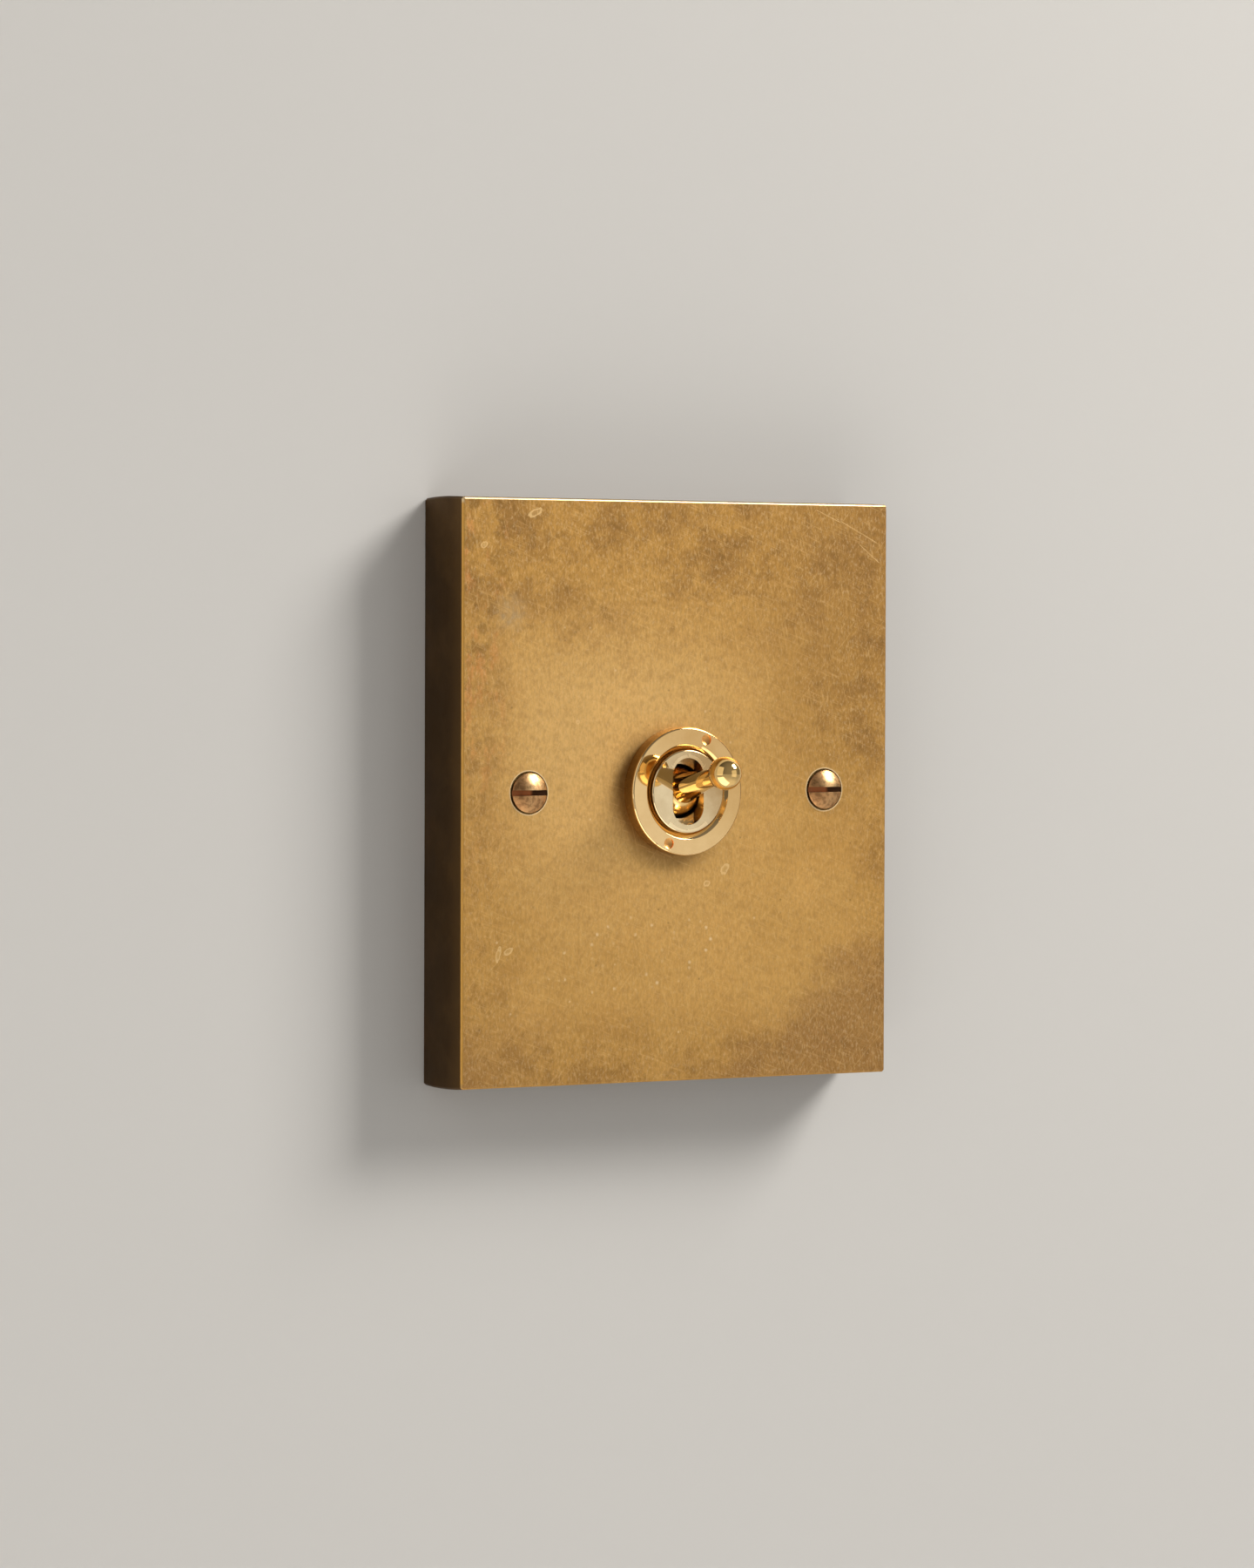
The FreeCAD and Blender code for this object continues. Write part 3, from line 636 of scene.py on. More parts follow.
def wind(tree, taken, turns, steps, sides):
    """A wire wound round Y, with the group's own radius, wire, length and start."""
    spiral = {
        "Resolution": steps,
        "Rotations": turns,
        "Start Radius": taken["Radius"],
        "End Radius": taken["Radius"],
        "Height": taken["Length"],
    }
    winding = node(tree, "GeometryNodeCurveSpiral", spiral).outputs[0]
    circle = {"Resolution": sides, "Radius": taken["Wire"]}
    section = node(tree, "GeometryNodeCurvePrimitiveCircle", circle).outputs[0]
    swept = {"Curve": winding, "Profile Curve": section, "Fill Caps": True}
    wire = node(tree, "GeometryNodeCurveToMesh", swept).outputs[0]
    start = node(tree, "ShaderNodeCombineXYZ", {"Y": taken["Start"]}).outputs[0]
    laid = {"Geometry": wire, "Translation": start, "Rotation": (-pi / 2, 0, 0)}
    return node(tree, "GeometryNodeTransform", laid).outputs[0]


def close_group(tree, geometry, taken, result):
    """Ends a Geometry Nodes tree: what it made is made real and given its finish."""
    real = node(tree, "GeometryNodeRealizeInstances", {"Geometry": geometry}).outputs[0]
    finish = {"Geometry": real, "Material": taken["Finish"]}
    tree.links.new(node(tree, "GeometryNodeSetMaterial", finish).outputs[0], result)


# A ridge that winds round a shank along Y, joined to the screw it is on
screw_thread, taken, given = new_group(
    "GeometryNodeTree",
    "Screw Thread",
    {
        "Screw": "Geometry",
        "Radius": "Float",
        "Wire": "Float",
        "Pitch": "Float",
        "Start": "Float",
        "Length": "Float",
        "Finish": "Material",
    },
    {"Screw": "Geometry"},
)
turns = maths(screw_thread, "DIVIDE", taken["Length"], taken["Pitch"])
ridge = wind(screw_thread, taken, turns, steps=20, sides=4)
joined = node(screw_thread, "GeometryNodeJoinGeometry")
screw_thread.links.new(taken["Screw"], joined.inputs[0])
screw_thread.links.new(ridge, joined.inputs[0])
close_group(screw_thread, joined.outputs[0], taken, given["Screw"])

# A row of like pieces, evenly spaced, in one material
even_row, taken, given = new_group(
    "GeometryNodeTree",
    "Even Row",
    {"Piece": "Geometry", "Count": "Int", "First": "Vector", "Step": "Vector", "Finish": "Material"},
    {"Row": "Geometry"},
)
spots = node(
    even_row,
    "GeometryNodeMeshLine",
    {"Count": taken["Count"], "Start Location": taken["First"], "Offset": taken["Step"]},
).outputs[0]
copies = node(
    even_row, "GeometryNodeInstanceOnPoints", {"Points": spots, "Instance": taken["Piece"]}
).outputs[0]
close_group(even_row, copies, taken, given["Row"])


def stand_in_row(piece, count, first, step, finish):
    """Makes a piece into a row of like ones. First and step are in millimetres."""
    places = {"First": tuple(Vector(first) * MM), "Step": tuple(Vector(step) * MM)}
    set_sizes(piece, even_row, {"Count": count, "Finish": finish, **places})


screw_brass, tree, surface, place = new_material("screw brass")
xyz = axes(tree, place)
own_middle = times(tree, maths(tree, "SIGN", xyz["X"]), screw_reach_x)
from_middle = maths(tree, "SUBTRACT", xyz["X"], own_middle)
tarnish = effect(tree, mottle, vector=place, size=2.0, low=0.40, high=0.62)
fine_tarnish = effect(tree, mottle, vector=place, size=0.8, low=0.44, high=0.62)
shaded_lower_half = fall(tree, xyz["Z"], -1.2, 0.4)
in_slot = fall(tree, maths(tree, "ABSOLUTE", xyz["Z"]), 0.44, 0.5)
deep_in_slot = ramp(tree, xyz["Y"], screw_top + 1.2, screw_top + 1.35)
past_dome = ramp(tree, xyz["Y"], screw_top + 1.3, screw_top + 1.6)
shank = ramp(tree, xyz["Y"], screw_top + 3.2, screw_top + 4.0)
# The dome is coppery, paler to the right, partly wear and partly a painted highlight.
tone = tint(tree, ramp(tree, from_middle, -2.6, 0.8), dome_copper, dome_worn_and_lit)
tone = lay(tree, tone, dome_tarnish, 0.45, tarnish)
# Painted shade: the dome's lower half is darker.
tone = lay(tree, tone, dome_shaded_low, 0.55, shaded_lower_half)
tone = lay(tree, tone, dome_dark, 0.55, fine_tarnish)
# The slot is tarnished red, and painted black towards its right end as painted shade.
slot_tarnish_and_shade = tint(tree, ramp(tree, from_middle, 0.1, 0.9), slot_red, slot_shade_black)
tone = lay(tree, tone, slot_tarnish_and_shade, 1.0, in_slot, deep_in_slot)
tone = lay(tree, tone, head_shade, 0.85, maths(tree, "SUBTRACT", past_dome, shank))
tone = tint(tree, shank, tone, shank_brass)
rough = raised(tree, raised(tree, 0.31, tarnish, 0.10), shaded_lower_half, 0.10)
coat(tree, surface, tone, rough)

dome_rim = screw_top + screw_dome
cone_start = dome_rim + screw_head_rim
dome_sphere = (screw_head_radius ** 2 + screw_dome ** 2) / (2 * screw_dome)
dome_half = sqrt(dome_sphere ** 2 - (screw_head_radius / 2) ** 2)
dome_through = (screw_head_radius / 2, screw_top + dome_sphere - dome_half)
screw_outline = [(0, screw_top)]
screw_outline += arc((0, screw_top), dome_through, (screw_head_radius, dome_rim), 14)
screw_outline += [
    (screw_head_radius, cone_start),
    (screw_neck_radius, cone_start + screw_head_radius - screw_neck_radius),
    (screw_neck_radius, screw_thread_start - screw_thread_lead),
    (screw_core_radius, screw_thread_start),
    (screw_core_radius, screw_end - screw_end_bevel),
    (screw_core_radius - screw_end_bevel, screw_end),
    (0, screw_end),
]
fixing_screws = turned("fixing_screws", screw_outline, sides=64)
screw_slot = oblong(cutter_reach, -screw_slot_half, screw_slot_half)
cut(fixing_screws, slab(screw_slot, cutter_front, screw_slot_floor))
ease_edges(fixing_screws, screw_edge_break)
shade(fixing_screws)
set_sizes(
    fixing_screws,
    screw_thread,
    {
        "Radius": (screw_thread_radius - screw_thread_ridge) * MM,
        "Wire": screw_thread_ridge * MM,
        "Pitch": screw_thread_pitch * MM,
        "Start": (screw_thread_start + screw_thread_lead) * MM,
        "Length": (screw_end - screw_thread_start - screw_thread_tail) * MM,
        "Finish": screw_brass,
    },
)
stand_in_row(fixing_screws, 2, (-screw_reach_x, 0, 0), (2 * screw_reach_x, 0, 0), screw_brass)
finish_piece(fixing_screws, screw_brass, "plate", "screw_brass", "plate_screws")


# Ring nut: a turned brass ring, polished to a mirror, that screws onto the bush and holds the switch
# in the plate. Two drilled holes take a pin spanner. A few dark nicks mark its outer edge.
ring_front = plate_front - 2.9
ring_radius = 11.1
ring_bore = 7.25
ring_mouth = 7.55
ring_mouth_depth = 1.2
ring_lip = 0.75
ring_lip_depth = 0.6
ring_lip_round = 0.15
ring_edge_round = 0.35
ring_small_round = 0.1
spanner_circle = 9.7
spanner_angle = 23.0
spanner_radius = 0.95
spanner_floor = ring_front + 0.4
drill_half_angle = 59.0
spanner_point = spanner_radius / tan(radians(drill_half_angle))

ring_light = (0.97, 0.69, 0.34, 1)
ring_deep = (0.74, 0.47, 0.185, 1)
ring_side_shade_brown = (0.50, 0.30, 0.115, 1)
nick_black = (0.05, 0.03, 0.015, 1)
drilled_gold = (0.92, 0.50, 0.16, 1)


def polished(name, light, deep):
    """Mirror-polished brass, deeper to the upper right as a painted reflection, with fine wipe marks.

    The ring's side is duller and painted brown as painted shade, its drilled holes are duller, and its
    edge has dark nicks."""
    material, tree, surface, place = new_material(name)
    xyz = axes(tree, place)
    swirl = effect(tree, mottle, vector=place, size=6.0, low=0.35, high=0.70)
    # Painted reflection: the brass is deeper towards the upper right.
    reflection_deepening = times(tree, ramp(tree, slantwise(tree, xyz, 0.75, 0.66), -7.0, 7.0), 0.7)
    tone = tint(tree, raised(tree, reflection_deepening, swirl, 0.3), light, deep)
    from_axis = hypotenuse(tree, xyz["X"], xyz["Z"])
    outer_edge = ramp(tree, from_axis, ring_radius - 0.5, ring_radius - 0.25)
    behind_edge = ramp(tree, xyz["Y"], ring_front + 0.3, ring_front + 0.7)
    # The ring's side is painted brown as painted shade.
    tone = lay(tree, tone, ring_side_shade_brown, 1.0, outer_edge, behind_edge)
    nicks = effect(tree, specks, vector=place, spacing=3.4, size=0.5, share=0.16)
    tone = lay(tree, tone, nick_black, 1.0, nicks, outer_edge)
    hole_way = axes(tree, turned_about_y(tree, place, -radians(spanner_angle)))
    off_circle = maths(tree, "SUBTRACT", maths(tree, "ABSOLUTE", hole_way["Z"]), spanner_circle)
    from_hole = hypotenuse(tree, off_circle, hole_way["X"])
    drilled = maths(tree, "LESS_THAN", from_hole, spanner_radius + 0.02)
    drilled = times(tree, drilled, ramp(tree, xyz["Y"], ring_front + 0.02, ring_front + 0.08))
    tone = tint(tree, drilled, tone, drilled_gold)
    wipes = effect(tree, hairlines, vector=place, turn=0.6, spacing=0.09, length=3.0, rarity=0.62)
    sheltered = ramp(tree, xyz["Y"], ring_front + 0.1, ring_front + 1.0)
    rough = raised(tree, 0.045, wipes, 0.05)
    rough = raised(tree, rough, drilled, 0.22)
    rough = raised(tree, rough, sheltered, 0.2)
    coat(tree, surface, tone, rough)
    return material


polished_brass = polished("polished brass", ring_light, ring_deep)
ring_outline = rounded(
    [
        (ring_bore, plate_front),
        (ring_bore, ring_front + ring_mouth_depth + ring_mouth - ring_bore),
        (ring_mouth, ring_front + ring_mouth_depth),
        (ring_mouth, ring_front + ring_lip_depth, ring_small_round),
        (ring_mouth + ring_lip, ring_front, ring_lip_round),
        (ring_radius, ring_front, ring_edge_round),
        (ring_radius, plate_front, ring_small_round),
    ]
)
drill_outline = [
    (0, ring_front - 1),
    (spanner_radius, ring_front - 1),
    (spanner_radius, spanner_floor),
    (0, spanner_floor + spanner_point),
]
ring_nut = turned("polished_ring_nut", ring_outline, sides=160)
for angle in (radians(spanner_angle), radians(spanner_angle + 180)):
    drill = turned("drill", drill_outline, sides=40)
    spot = Vector((sin(angle), 0, cos(angle))) * spanner_circle
    drill.data.transform(Matrix.Translation(spot * MM))
    cut(ring_nut, drill)
shade(ring_nut)
finish_piece(ring_nut, polished_brass, "plate", "polished_brass", "ring_nut")


# Bush: a turned and polished brass sleeve, threaded outside, that carries the lever's pivot.
# An upright slot in its flat face lets the lever rock, and its back end is swaged into the switch.
bush_front = ring_front - 0.2
bush_back = -4.4
bush_radius = 7.2
bush_mouth = 1.82
bush_edge_round = 0.25
bush_edge_break = 0.12
flange_radius = 9.0
flange_front = -6.8
flange_back = -5.6
flange_edge_round = 0.12
spigot_radius = 6.0
swage_radius = 6.4
seat_radius = 4.75
pivot = Vector((0, -11.2, 0))
pin_radius = 1.0
slot_half_width = 3.15
slot_half_height = 5.8
slot_depth = 3.0
keyway_half_width = 0.9
keyway_floor = 6.3
keyway_cover = 3.2
keyway_reach = 9.0
pin_drill_reach = 9.0

bush_light = (0.98, 0.81, 0.51, 1)
bush_deep = (0.54, 0.355, 0.16, 1)

bush_outline = rounded(
    [
        (bush_mouth, bush_front),
        (bush_radius, bush_front, bush_edge_round),
        (bush_radius, flange_front),
        (flange_radius, flange_front, flange_edge_round),
        (flange_radius, flange_back, flange_edge_round),
        (spigot_radius, flange_back),
        (spigot_radius, bush_back - swage_radius + spigot_radius),
        (swage_radius, bush_back),
        (seat_radius, bush_back),
        (seat_radius, pivot.y - seat_radius * sqrt(2) + seat_radius),
    ]
)


def cross_drill(radius):
    """A rod along X through the pivot, for cutting with."""
    reach = pin_drill_reach
    rod = turned("cutter", [(0, -reach), (radius, -reach), (radius, reach), (0, reach)], sides=40)
    rod.data.transform(Matrix.Translation(pivot * MM) @ Matrix.Rotation(pi / 2, 4, "Z"))
    return rod


bush = turned("polished_bush", bush_outline, sides=160)
ends = [radians(180 * k / 24) for k in range(25)]
straight = slot_half_height - slot_half_width
slot_outline = [(slot_half_width * cos(t), straight + slot_half_width * sin(t)) for t in ends]
slot_outline += [(-x, -z) for x, z in slot_outline]
keyway = oblong(keyway_half_width, -keyway_reach, -keyway_floor)
cut(bush, slab(slot_outline, bush_front - 1, bush_front + slot_depth))
cut(bush, slab(keyway, bush_front + keyway_cover, flange_front))
cut(bush, cross_drill(pin_radius))
ease_edges(bush, bush_edge_break, angle=50, segments=3)
shade(bush)
# The bush's brass is paler than the ring nut's, a lit copy that paints in the pale reflection its face
# shows.
paler_lit_brass = polished("pale polished brass", bush_light, bush_deep)
finish_piece(bush, paler_lit_brass, "plate", "polished_brass", "bush")


# Dolly: the lever, turned from one bar of brass and polished: a ball end, a waisted stem, a round boss
# that sits in the bush, and a bored tail for the sprung plunger. It rocks on a cross pin and rests up.
dolly_tilt = radians(-11.4)
ball_y = pivot.y - 17.05
ball_radius = 2.88
neck_radius = 1.5
stem_radius = 1.9
root_radius = 2.75
boss_radius = 4.45
tail_radius = 3.0
tail_end = pivot.y + 10.5
bore_radius = 2.0
bore_floor = pivot.y + 3.0
pin_clearance = 0.05

dolly_light = (0.92, 0.64, 0.27, 1)
dolly_deep = (0.87, 0.56, 0.20, 1)

neck_y = ball_y + sqrt(ball_radius ** 2 - neck_radius ** 2)
root_y = pivot.y - sqrt(boss_radius ** 2 - root_radius ** 2)
tail_y = pivot.y + sqrt(boss_radius ** 2 - tail_radius ** 2)
stem_middle = (stem_radius, (neck_y + root_y) / 2)
dolly_outline = [(0, ball_y - ball_radius)]
dolly_outline += arc(dolly_outline[-1], (ball_radius, ball_y), (neck_radius, neck_y), 40)
dolly_outline += arc(dolly_outline[-1], stem_middle, (root_radius, root_y), 24)
dolly_outline += arc(dolly_outline[-1], (boss_radius, pivot.y), (tail_radius, tail_y), 32)
dolly_outline += [
    (tail_radius, tail_end),
    (bore_radius, tail_end),
    (bore_radius, bore_floor),
    (0, bore_floor),
]


def tip_with_dolly(piece):
    """Turns a piece about the pivot to where the dolly rests."""
    about = Matrix.Translation(pivot * MM)
    piece.data.transform(about @ Matrix.Rotation(dolly_tilt, 4, "X") @ about.inverted())


dolly = turned("polished_dolly", dolly_outline, sides=96)
cut(dolly, cross_drill(pin_radius + pin_clearance))
tip_with_dolly(dolly)
shade(dolly, sharp_angle=26)
gold_brass = polished("gold polished brass", dolly_light, dolly_deep)
finish_piece(dolly, gold_brass, "dolly", "polished_brass", "dolly")


# Steel pieces: the pivot pin, the keyed washer behind the plate, the stamped frame of the switch and
# the earth washer. All are mild steel with a thin zinc plating, bright but a little cloudy.
zinc_grey = (0.60, 0.61, 0.62, 1)
zinc_pale = (0.70, 0.71, 0.72, 1)
zinc_warm = (0.58, 0.54, 0.45, 1)

plated_steel, tree, surface, place = new_material("zinc plated steel")
spangle = effect(tree, mottle, vector=place, size=3.5, low=0.35, high=0.70)
cloudy = effect(tree, mottle, vector=place, size=14.0, low=0.38, high=0.66)
tone = lay(tree, zinc_grey, zinc_pale, 0.6, spangle)
tone = lay(tree, tone, zinc_warm, 0.3, cloudy)
coat(tree, surface, tone, raised(tree, 0.28, spangle, 0.14))

for part in ("pivot_pin", "locating_washer", "mounting_frame", "earth_washer"):
    piece = fair_copy(part, "plated_" + part)
    finish_piece(piece, plated_steel, "plate", "plated_steel", part)


# Turned brass pieces: the hexagon nut behind the plate, the terminals and the earth screw.
# They are cut from bar and left as the lathe and saw leave them, with fine tool lines and no polish.
bar_brass = (0.74, 0.53, 0.22, 1)
bar_dull = (0.56, 0.36, 0.13, 1)
bar_bright = (0.84, 0.64, 0.32, 1)

turned_brass, tree, surface, place = new_material("turned brass")
dull = effect(tree, mottle, vector=place, size=4.0, low=0.40, high=0.68)
tool_lines = effect(tree, hairlines, vector=place, turn=0.3, spacing=0.12, length=4.0, rarity=0.55)
tone = lay(tree, bar_brass, bar_dull, 0.6, dull)
tone = lay(tree, tone, bar_bright, 0.25, tool_lines)
coat(tree, surface, tone, raised(tree, 0.24, dull, 0.14))

for part in ("back_nut", "terminal_common", "terminal_upper", "terminal_lower", "earth_screw"):
    piece = fair_copy(part, "turned_" + part)
    finish_piece(piece, turned_brass, "plate", "turned_brass", part)


# Plunger and spring: a nylon plunger that slides in the dolly's tail, and the coil spring behind it.
# The spring pushes the plunger against the rocker, which is what snaps the switch over. In the switch
# it stretches as the plunger slides out; here it is wound at one length.
spring_radius = 1.61
wire_radius = 0.24
spring_turns = 4.0
spring_start = bore_floor + wire_radius
spring_length = 3.91

nylon_white = (0.80, 0.78, 0.71, 1)
nylon_cream = (0.74, 0.71, 0.63, 1)
wire_grey = (0.52, 0.52, 0.54, 1)
wire_dark = (0.36, 0.35, 0.35, 1)

nylon, tree, surface, place = new_material("nylon")
cream = effect(tree, mottle, vector=place, size=3.0, low=0.35, high=0.70)
coat(tree, surface, tint(tree, cream, nylon_white, nylon_cream), 0.45, metallic=0.0)
plunger = fair_copy("plunger", "nylon_plunger")
finish_piece(plunger, nylon, "plunger", "nylon", "plunger")

spring_steel, tree, surface, place = new_material("spring steel")
oiled = effect(tree, mottle, vector=place, size=1.5, low=0.40, high=0.65)
coat(tree, surface, tint(tree, oiled, wire_grey, wire_dark), 0.3)

coil_spring, taken, given = new_group(
    "GeometryNodeTree",
    "Coil Spring",
    {
        "Blank": "Geometry",
        "Radius": "Float",
        "Wire": "Float",
        "Turns": "Float",
        "Length": "Float",
        "Start": "Float",
        "Finish": "Material",
    },
    {"Spring": "Geometry"},
)
coil = wind(coil_spring, taken, taken["Turns"], steps=32, sides=12)
close_group(coil_spring, coil, taken, given["Spring"])

spring = place_mesh("wound_plunger_spring", bmesh.new())
set_sizes(
    spring,
    coil_spring,
    {
        "Radius": spring_radius * MM,
        "Wire": wire_radius * MM,
        "Turns": spring_turns,
        "Length": spring_length * MM,
        "Start": spring_start * MM,
        "Finish": spring_steel,
    },
)
tip_with_dolly(spring)
shade(spring)
dress(spring, spring_steel)
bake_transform(spring)
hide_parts("plunger_spring")


# Case of the switch: two black thermoset mouldings, the housing over the rocker and the base that
# holds the terminals. The mould leaves a fine satin skin. Two rivets clamp them to the steel frame.
rivet_reach = 17.0
rivet_front = -5.6
rivet_back = 18.0
rivet_radius = 1.4
rivet_head_radius = 2.4
rivet_head_height = 0.9
rivet_head_round = 0.5

moulded_black = (0.024, 0.022, 0.021, 1)
moulded_grey = (0.038, 0.035, 0.032, 1)

moulding, tree, surface, place = new_material("black moulding")
skin = effect(tree, mottle, vector=place, size=0.5, low=0.30, high=0.70)
handled = effect(tree, mottle, vector=place, size=9.0, low=0.40, high=0.66)
tone = tint(tree, handled, moulded_black, moulded_grey)
coat(tree, surface, tone, raised(tree, 0.38, handled, 0.12), metallic=0.0)
roughen(tree, surface, 0.15, skin)

for part in ("switch_housing", "terminal_base"):
    piece = fair_copy(part, "moulded_" + part)
    finish_piece(piece, moulding, "plate", "moulding", part)

rivet_outline = rounded(
    [
        (0, rivet_front - rivet_head_height),
        (rivet_head_radius, rivet_front - rivet_head_height, rivet_head_round),
        (rivet_head_radius, rivet_front),
        (rivet_radius, rivet_front),
        (rivet_radius, rivet_back),
        (rivet_head_radius, rivet_back),
        (rivet_head_radius, rivet_back + rivet_head_height, rivet_head_round),
        (0, rivet_back + rivet_head_height),
    ]
)
rivets = turned("case_rivets", rivet_outline, sides=40)
shade(rivets)
stand_in_row(rivets, 2, (0, 0, -rivet_reach), (0, 0, 2 * rivet_reach), turned_brass)
finish_piece(rivets, turned_brass, "plate", "turned_brass", "housing_rivets")


# Terminal screws: three slotted cheese-head screws of brass that clamp the wires from behind.
# They are turned from bar, and stand in open wells in the base.
terminal_pitch = 10.6
clamp_tip = 12.5
clamp_radius = 1.75
clamp_head_radius = 2.7
clamp_round = 0.3
clamp_under_round = 0.1
clamp_head_front = 16.7
clamp_head_back = 18.2
clamp_slot_half = 0.4
clamp_slot_depth = 0.75
clamp_cutter_reach = 5.0
clamp_cutter_back = 20.0
clamp_outline = rounded(
    [
        (0, clamp_tip),
        (clamp_radius, clamp_tip, clamp_round),
        (clamp_radius, clamp_head_front),
        (clamp_head_radius, clamp_head_front, clamp_under_round),
        (clamp_head_radius, clamp_head_back, clamp_round),
        (0, clamp_head_back),
    ]
)
terminal_screws = turned("terminal_screws_row", clamp_outline, sides=48)
clamp_slot = oblong(clamp_cutter_reach, -clamp_slot_half, clamp_slot_half)
cut(terminal_screws, slab(clamp_slot, clamp_head_back - clamp_slot_depth, clamp_cutter_back))
shade(terminal_screws)
stand_in_row(terminal_screws, 3, (0, 0, -terminal_pitch), (0, 0, terminal_pitch), turned_brass)
finish_piece(terminal_screws, turned_brass, "plate", "turned_brass", "terminal_screws")


# Rocker and contacts: a strip of rolled copper that see-saws on the middle terminal, with silver
# buttons riveted to its ends that meet silver buttons on the outer terminals.
rolled_copper = (0.72, 0.37, 0.21, 1)
dull_copper = (0.50, 0.23, 0.12, 1)
silver = (0.80, 0.79, 0.76, 1)
burnt_silver = (0.42, 0.40, 0.38, 1)

copper, tree, surface, place = new_material("rolled copper")
rolled = effect(tree, hairlines, vector=place, turn=0.0, spacing=0.1, length=6.0, rarity=0.50)
tarnish = effect(tree, mottle, vector=place, size=4.0, low=0.40, high=0.66)
tone = lay(tree, rolled_copper, dull_copper, 0.6, tarnish)
coat(tree, surface, tone, raised(tree, 0.26, rolled, 0.1))
rocker = fair_copy("rocker", "copper_rocker")
finish_piece(rocker, copper, "rocker", "copper", "rocker")

contact_silver, tree, surface, place = new_material("contact silver")
burnt = effect(tree, mottle, vector=place, size=0.8, low=0.48, high=0.66)
coat(tree, surface, lay(tree, silver, burnt_silver, 0.5, burnt), 0.32)
for part, body in (("rocker_contacts", "rocker"), ("fixed_contacts", "plate")):
    piece = fair_copy(part, "silver_" + part)
    finish_piece(piece, contact_silver, body, "contact_silver", part)


# Stage: a plain pale wall with an opening behind the plate, which cannot be seen from its back, and a
# pale floor. A lamp stands to the upper right, with a soft panel each side, a lit sheet below the
# plate and one more lamp behind the wall. Stage sizes are in metres.
stage_pale = (0.66, 0.648, 0.628, 1)
floor_pale = (0.66, 0.65, 0.63, 1)
stage_rough = 0.9
floor_glow = 0.52
wall_y = 0.0002
wall_reach = 8
wall_top = 4
floor_z = -1.3
floor_reach = 16
floor_back = 4
rim_covered = 0.0004


def stage_sheet(name, corners, faces, material):
    """A flat sheet of the stage."""
    mesh = bpy.data.meshes.new(name)
    mesh.from_pydata(corners, [], faces)
    mesh.materials.append(material)
    sheet = bpy.data.objects.new(name, mesh)
    bpy.context.scene.collection.objects.link(sheet)


wall_paint, tree, surface, place = new_material("pale wall")
coat(tree, surface, stage_pale, stage_rough, metallic=0.0)
paint = tree.nodes["Principled BSDF"].outputs[0]
seen_behind = node(tree, "ShaderNodeNewGeometry").outputs["Backfacing"]
clear = node(tree, "ShaderNodeBsdfTransparent").outputs[0]
one_way = node(tree, "ShaderNodeMixShader", {0: seen_behind, 1: paint, 2: clear}).outputs[0]
tree.links.new(one_way, tree.nodes["Material Output"].inputs["Surface"])
opening_x = plate_half_width * MM - rim_covered
opening_z = plate_half_height * MM - rim_covered
wall_outline = oblong(wall_reach, floor_z, wall_top) + oblong(opening_x, -opening_z, opening_z)
wall_corners = [(x, wall_y, z) for x, z in wall_outline]
wall_faces = [(k, (k + 1) % 4, (k + 1) % 4 + 4, k + 4) for k in range(4)]
stage_sheet("wall", wall_corners, wall_faces, wall_paint)

floor_paint, tree, surface, place = new_material("pale floor")
coat(tree, surface, floor_pale, stage_rough, metallic=0.0)
path = node(tree, "ShaderNodeLightPath").outputs
shown = highest(tree, path["Is Camera Ray"], path["Is Glossy Ray"], path["Is Transmission Ray"])
feed(tree, surface["Emission Color"], stage_pale)
feed(tree, surface["Emission Strength"], times(tree, shown, floor_glow))
floor_corners = [(x, y, floor_z) for x, y in oblong(floor_reach, -floor_reach, floor_back)]
stage_sheet("floor", floor_corners, [(0, 1, 2, 3)], floor_paint)

# Lamps aimed at the plate: degrees to the right of straight in front, degrees up, metres away, width,
# height, power and colour
lamps = {
    "key": (54, 37, 1.5, 0.6, 0.6, 23, (1.0, 0.97, 0.92)),
    "right panel": (34, 0, 1.9, 1.3, 1.3, 2.7, (1.0, 0.97, 0.93)),
    "left panel": (-70, 18, 1.6, 1.4, 1.7, 5.2, (1.0, 0.95, 0.88)),
    "low sheet": (-76, -60, 0.9, 1.3, 1.3, 7.5, (1.0, 0.98, 0.95)),
    "behind": (155, 30, 1.4, 0.9, 0.9, 14, (1.0, 1.0, 1.0)),
}


def heading(azimuth, elevation):
    """The direction from the plate towards a place round it."""
    a, e = radians(azimuth), radians(elevation)
    return Vector((sin(a) * cos(e), -cos(a) * cos(e), sin(e)))


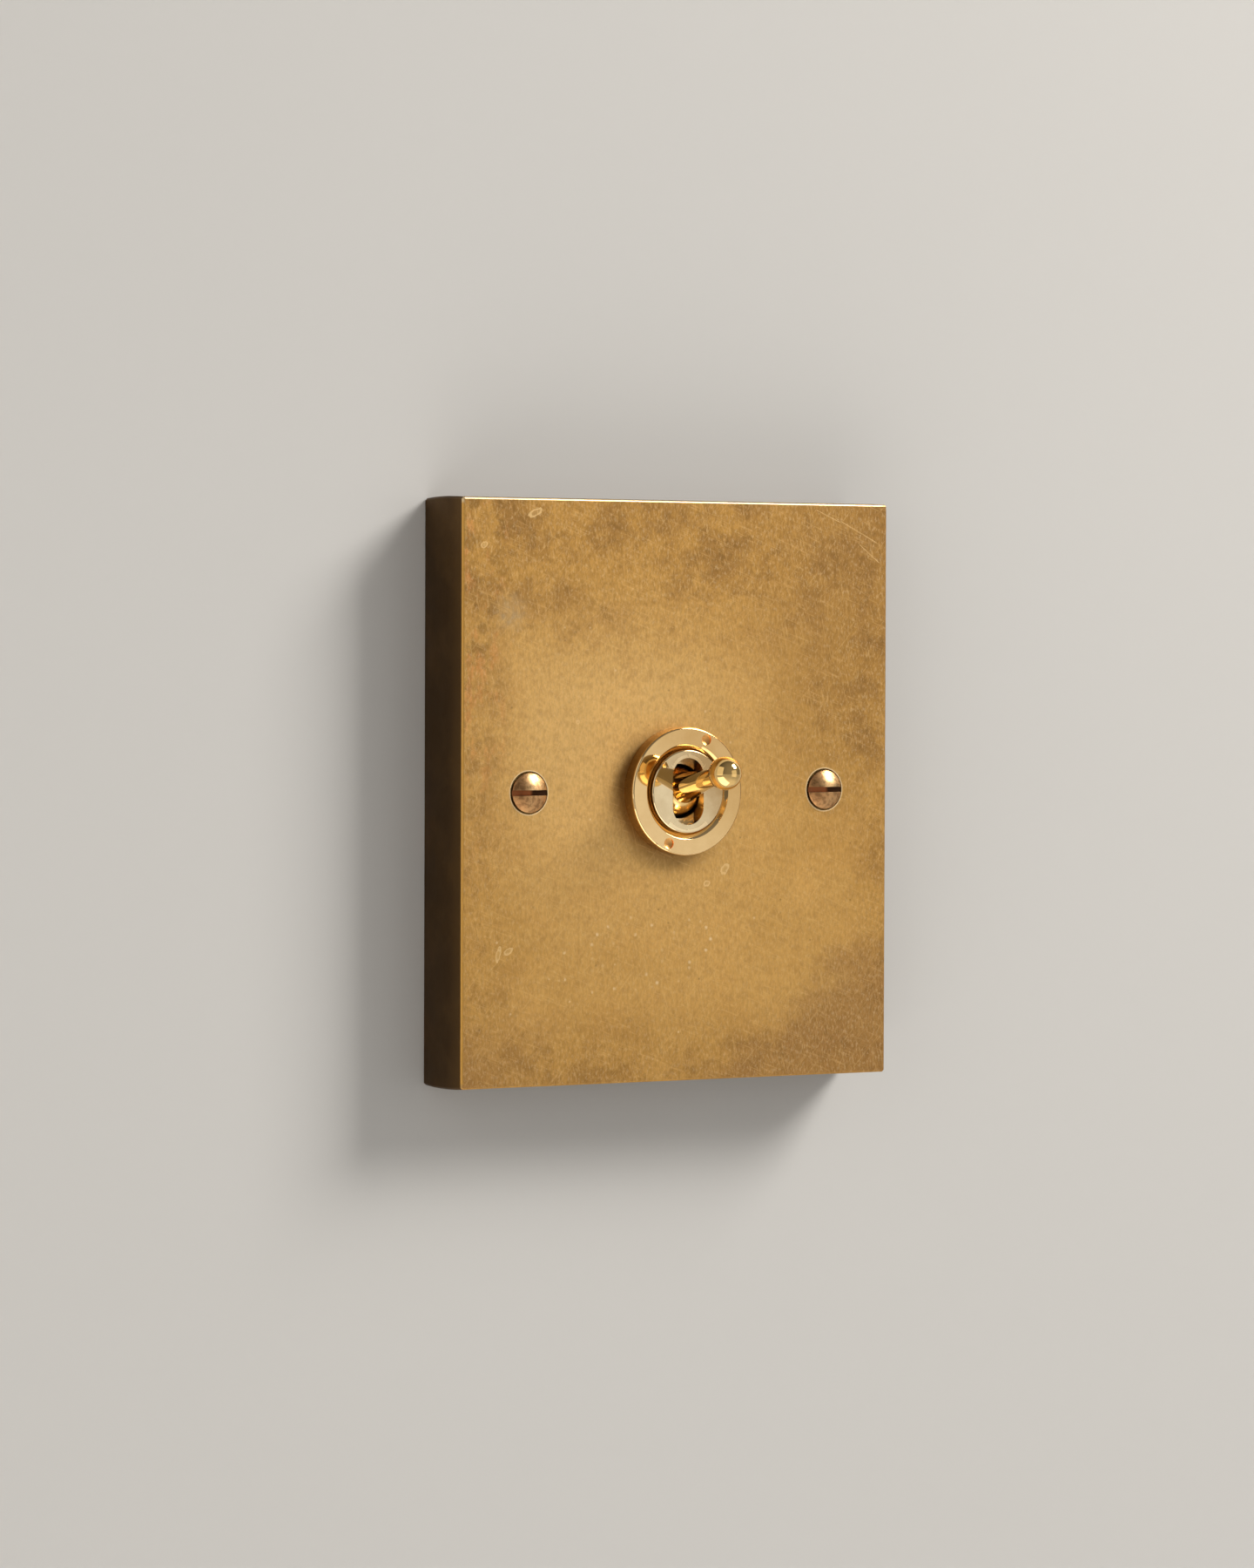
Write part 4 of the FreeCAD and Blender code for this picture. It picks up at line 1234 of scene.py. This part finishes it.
for name, (azimuth, elevation, metres, width, height, power, colour) in lamps.items():
    light = bpy.data.lights.new(name, "AREA")
    light.shape = "RECTANGLE"
    light.size = width
    light.size_y = height
    light.energy = power
    light.color = colour
    stand = bpy.data.objects.new(name, light)
    bpy.context.scene.collection.objects.link(stand)
    towards = heading(azimuth, elevation)
    stand.location = towards * metres
    stand.rotation_euler = towards.to_track_quat("Z", "Y").to_euler()

# A dim room, lighter in front of the plate and to its right
room_dark = (0.10, 0.095, 0.09, 1)
room_light = (0.27, 0.262, 0.252, 1)
lightest_way = (0.36, -0.92, 0.14)
world = bpy.data.worlds.new("soft room")
bpy.context.scene.world = world
world.use_nodes = True
tree = world.node_tree
tree.nodes.clear()
looking = node(tree, "ShaderNodeTexCoord").outputs["Generated"]
facing = vectors(tree, "DOT_PRODUCT", looking, lightest_way)["Value"]
room = tint(tree, ramp(tree, facing, -0.1, 1.0), room_dark, room_light)
sky = node(tree, "ShaderNodeBackground", {"Color": room, "Strength": 1.0})
node(tree, "ShaderNodeOutputWorld", {"Surface": sky.outputs[0]})


# Camera: a long lens, a little to the left of the plate and level with it.
camera_azimuth = -32.0
camera_elevation = 1.45
camera_metres = 0.98
camera_roll = 0.2
aim_left = 0.0090
aim_up = 0.0012
camera = bpy.data.cameras.new("camera")
camera.sensor_fit = "VERTICAL"
camera.sensor_height = 36.0
camera.lens = 129.8
camera.clip_end = 40.0
camera_stand = bpy.data.objects.new("camera", camera)
bpy.context.scene.collection.objects.link(camera_stand)
backwards = heading(camera_azimuth, camera_elevation)
face_centre = Vector((0, plate_front * MM, 0))
camera_stand.location = face_centre + backwards * camera_metres
rightwards = Vector((0, 0, 1)).cross(backwards).normalized()
aim = face_centre - rightwards * aim_left + Vector((0, 0, aim_up))
look = (aim - camera_stand.location).to_track_quat("-Z", "Y")
camera_stand.rotation_euler = look.to_euler()
camera_stand.rotation_euler.rotate_axis("Z", radians(camera_roll))
bpy.context.scene.camera = camera_stand
bpy.context.scene.view_settings.view_transform = "Standard"
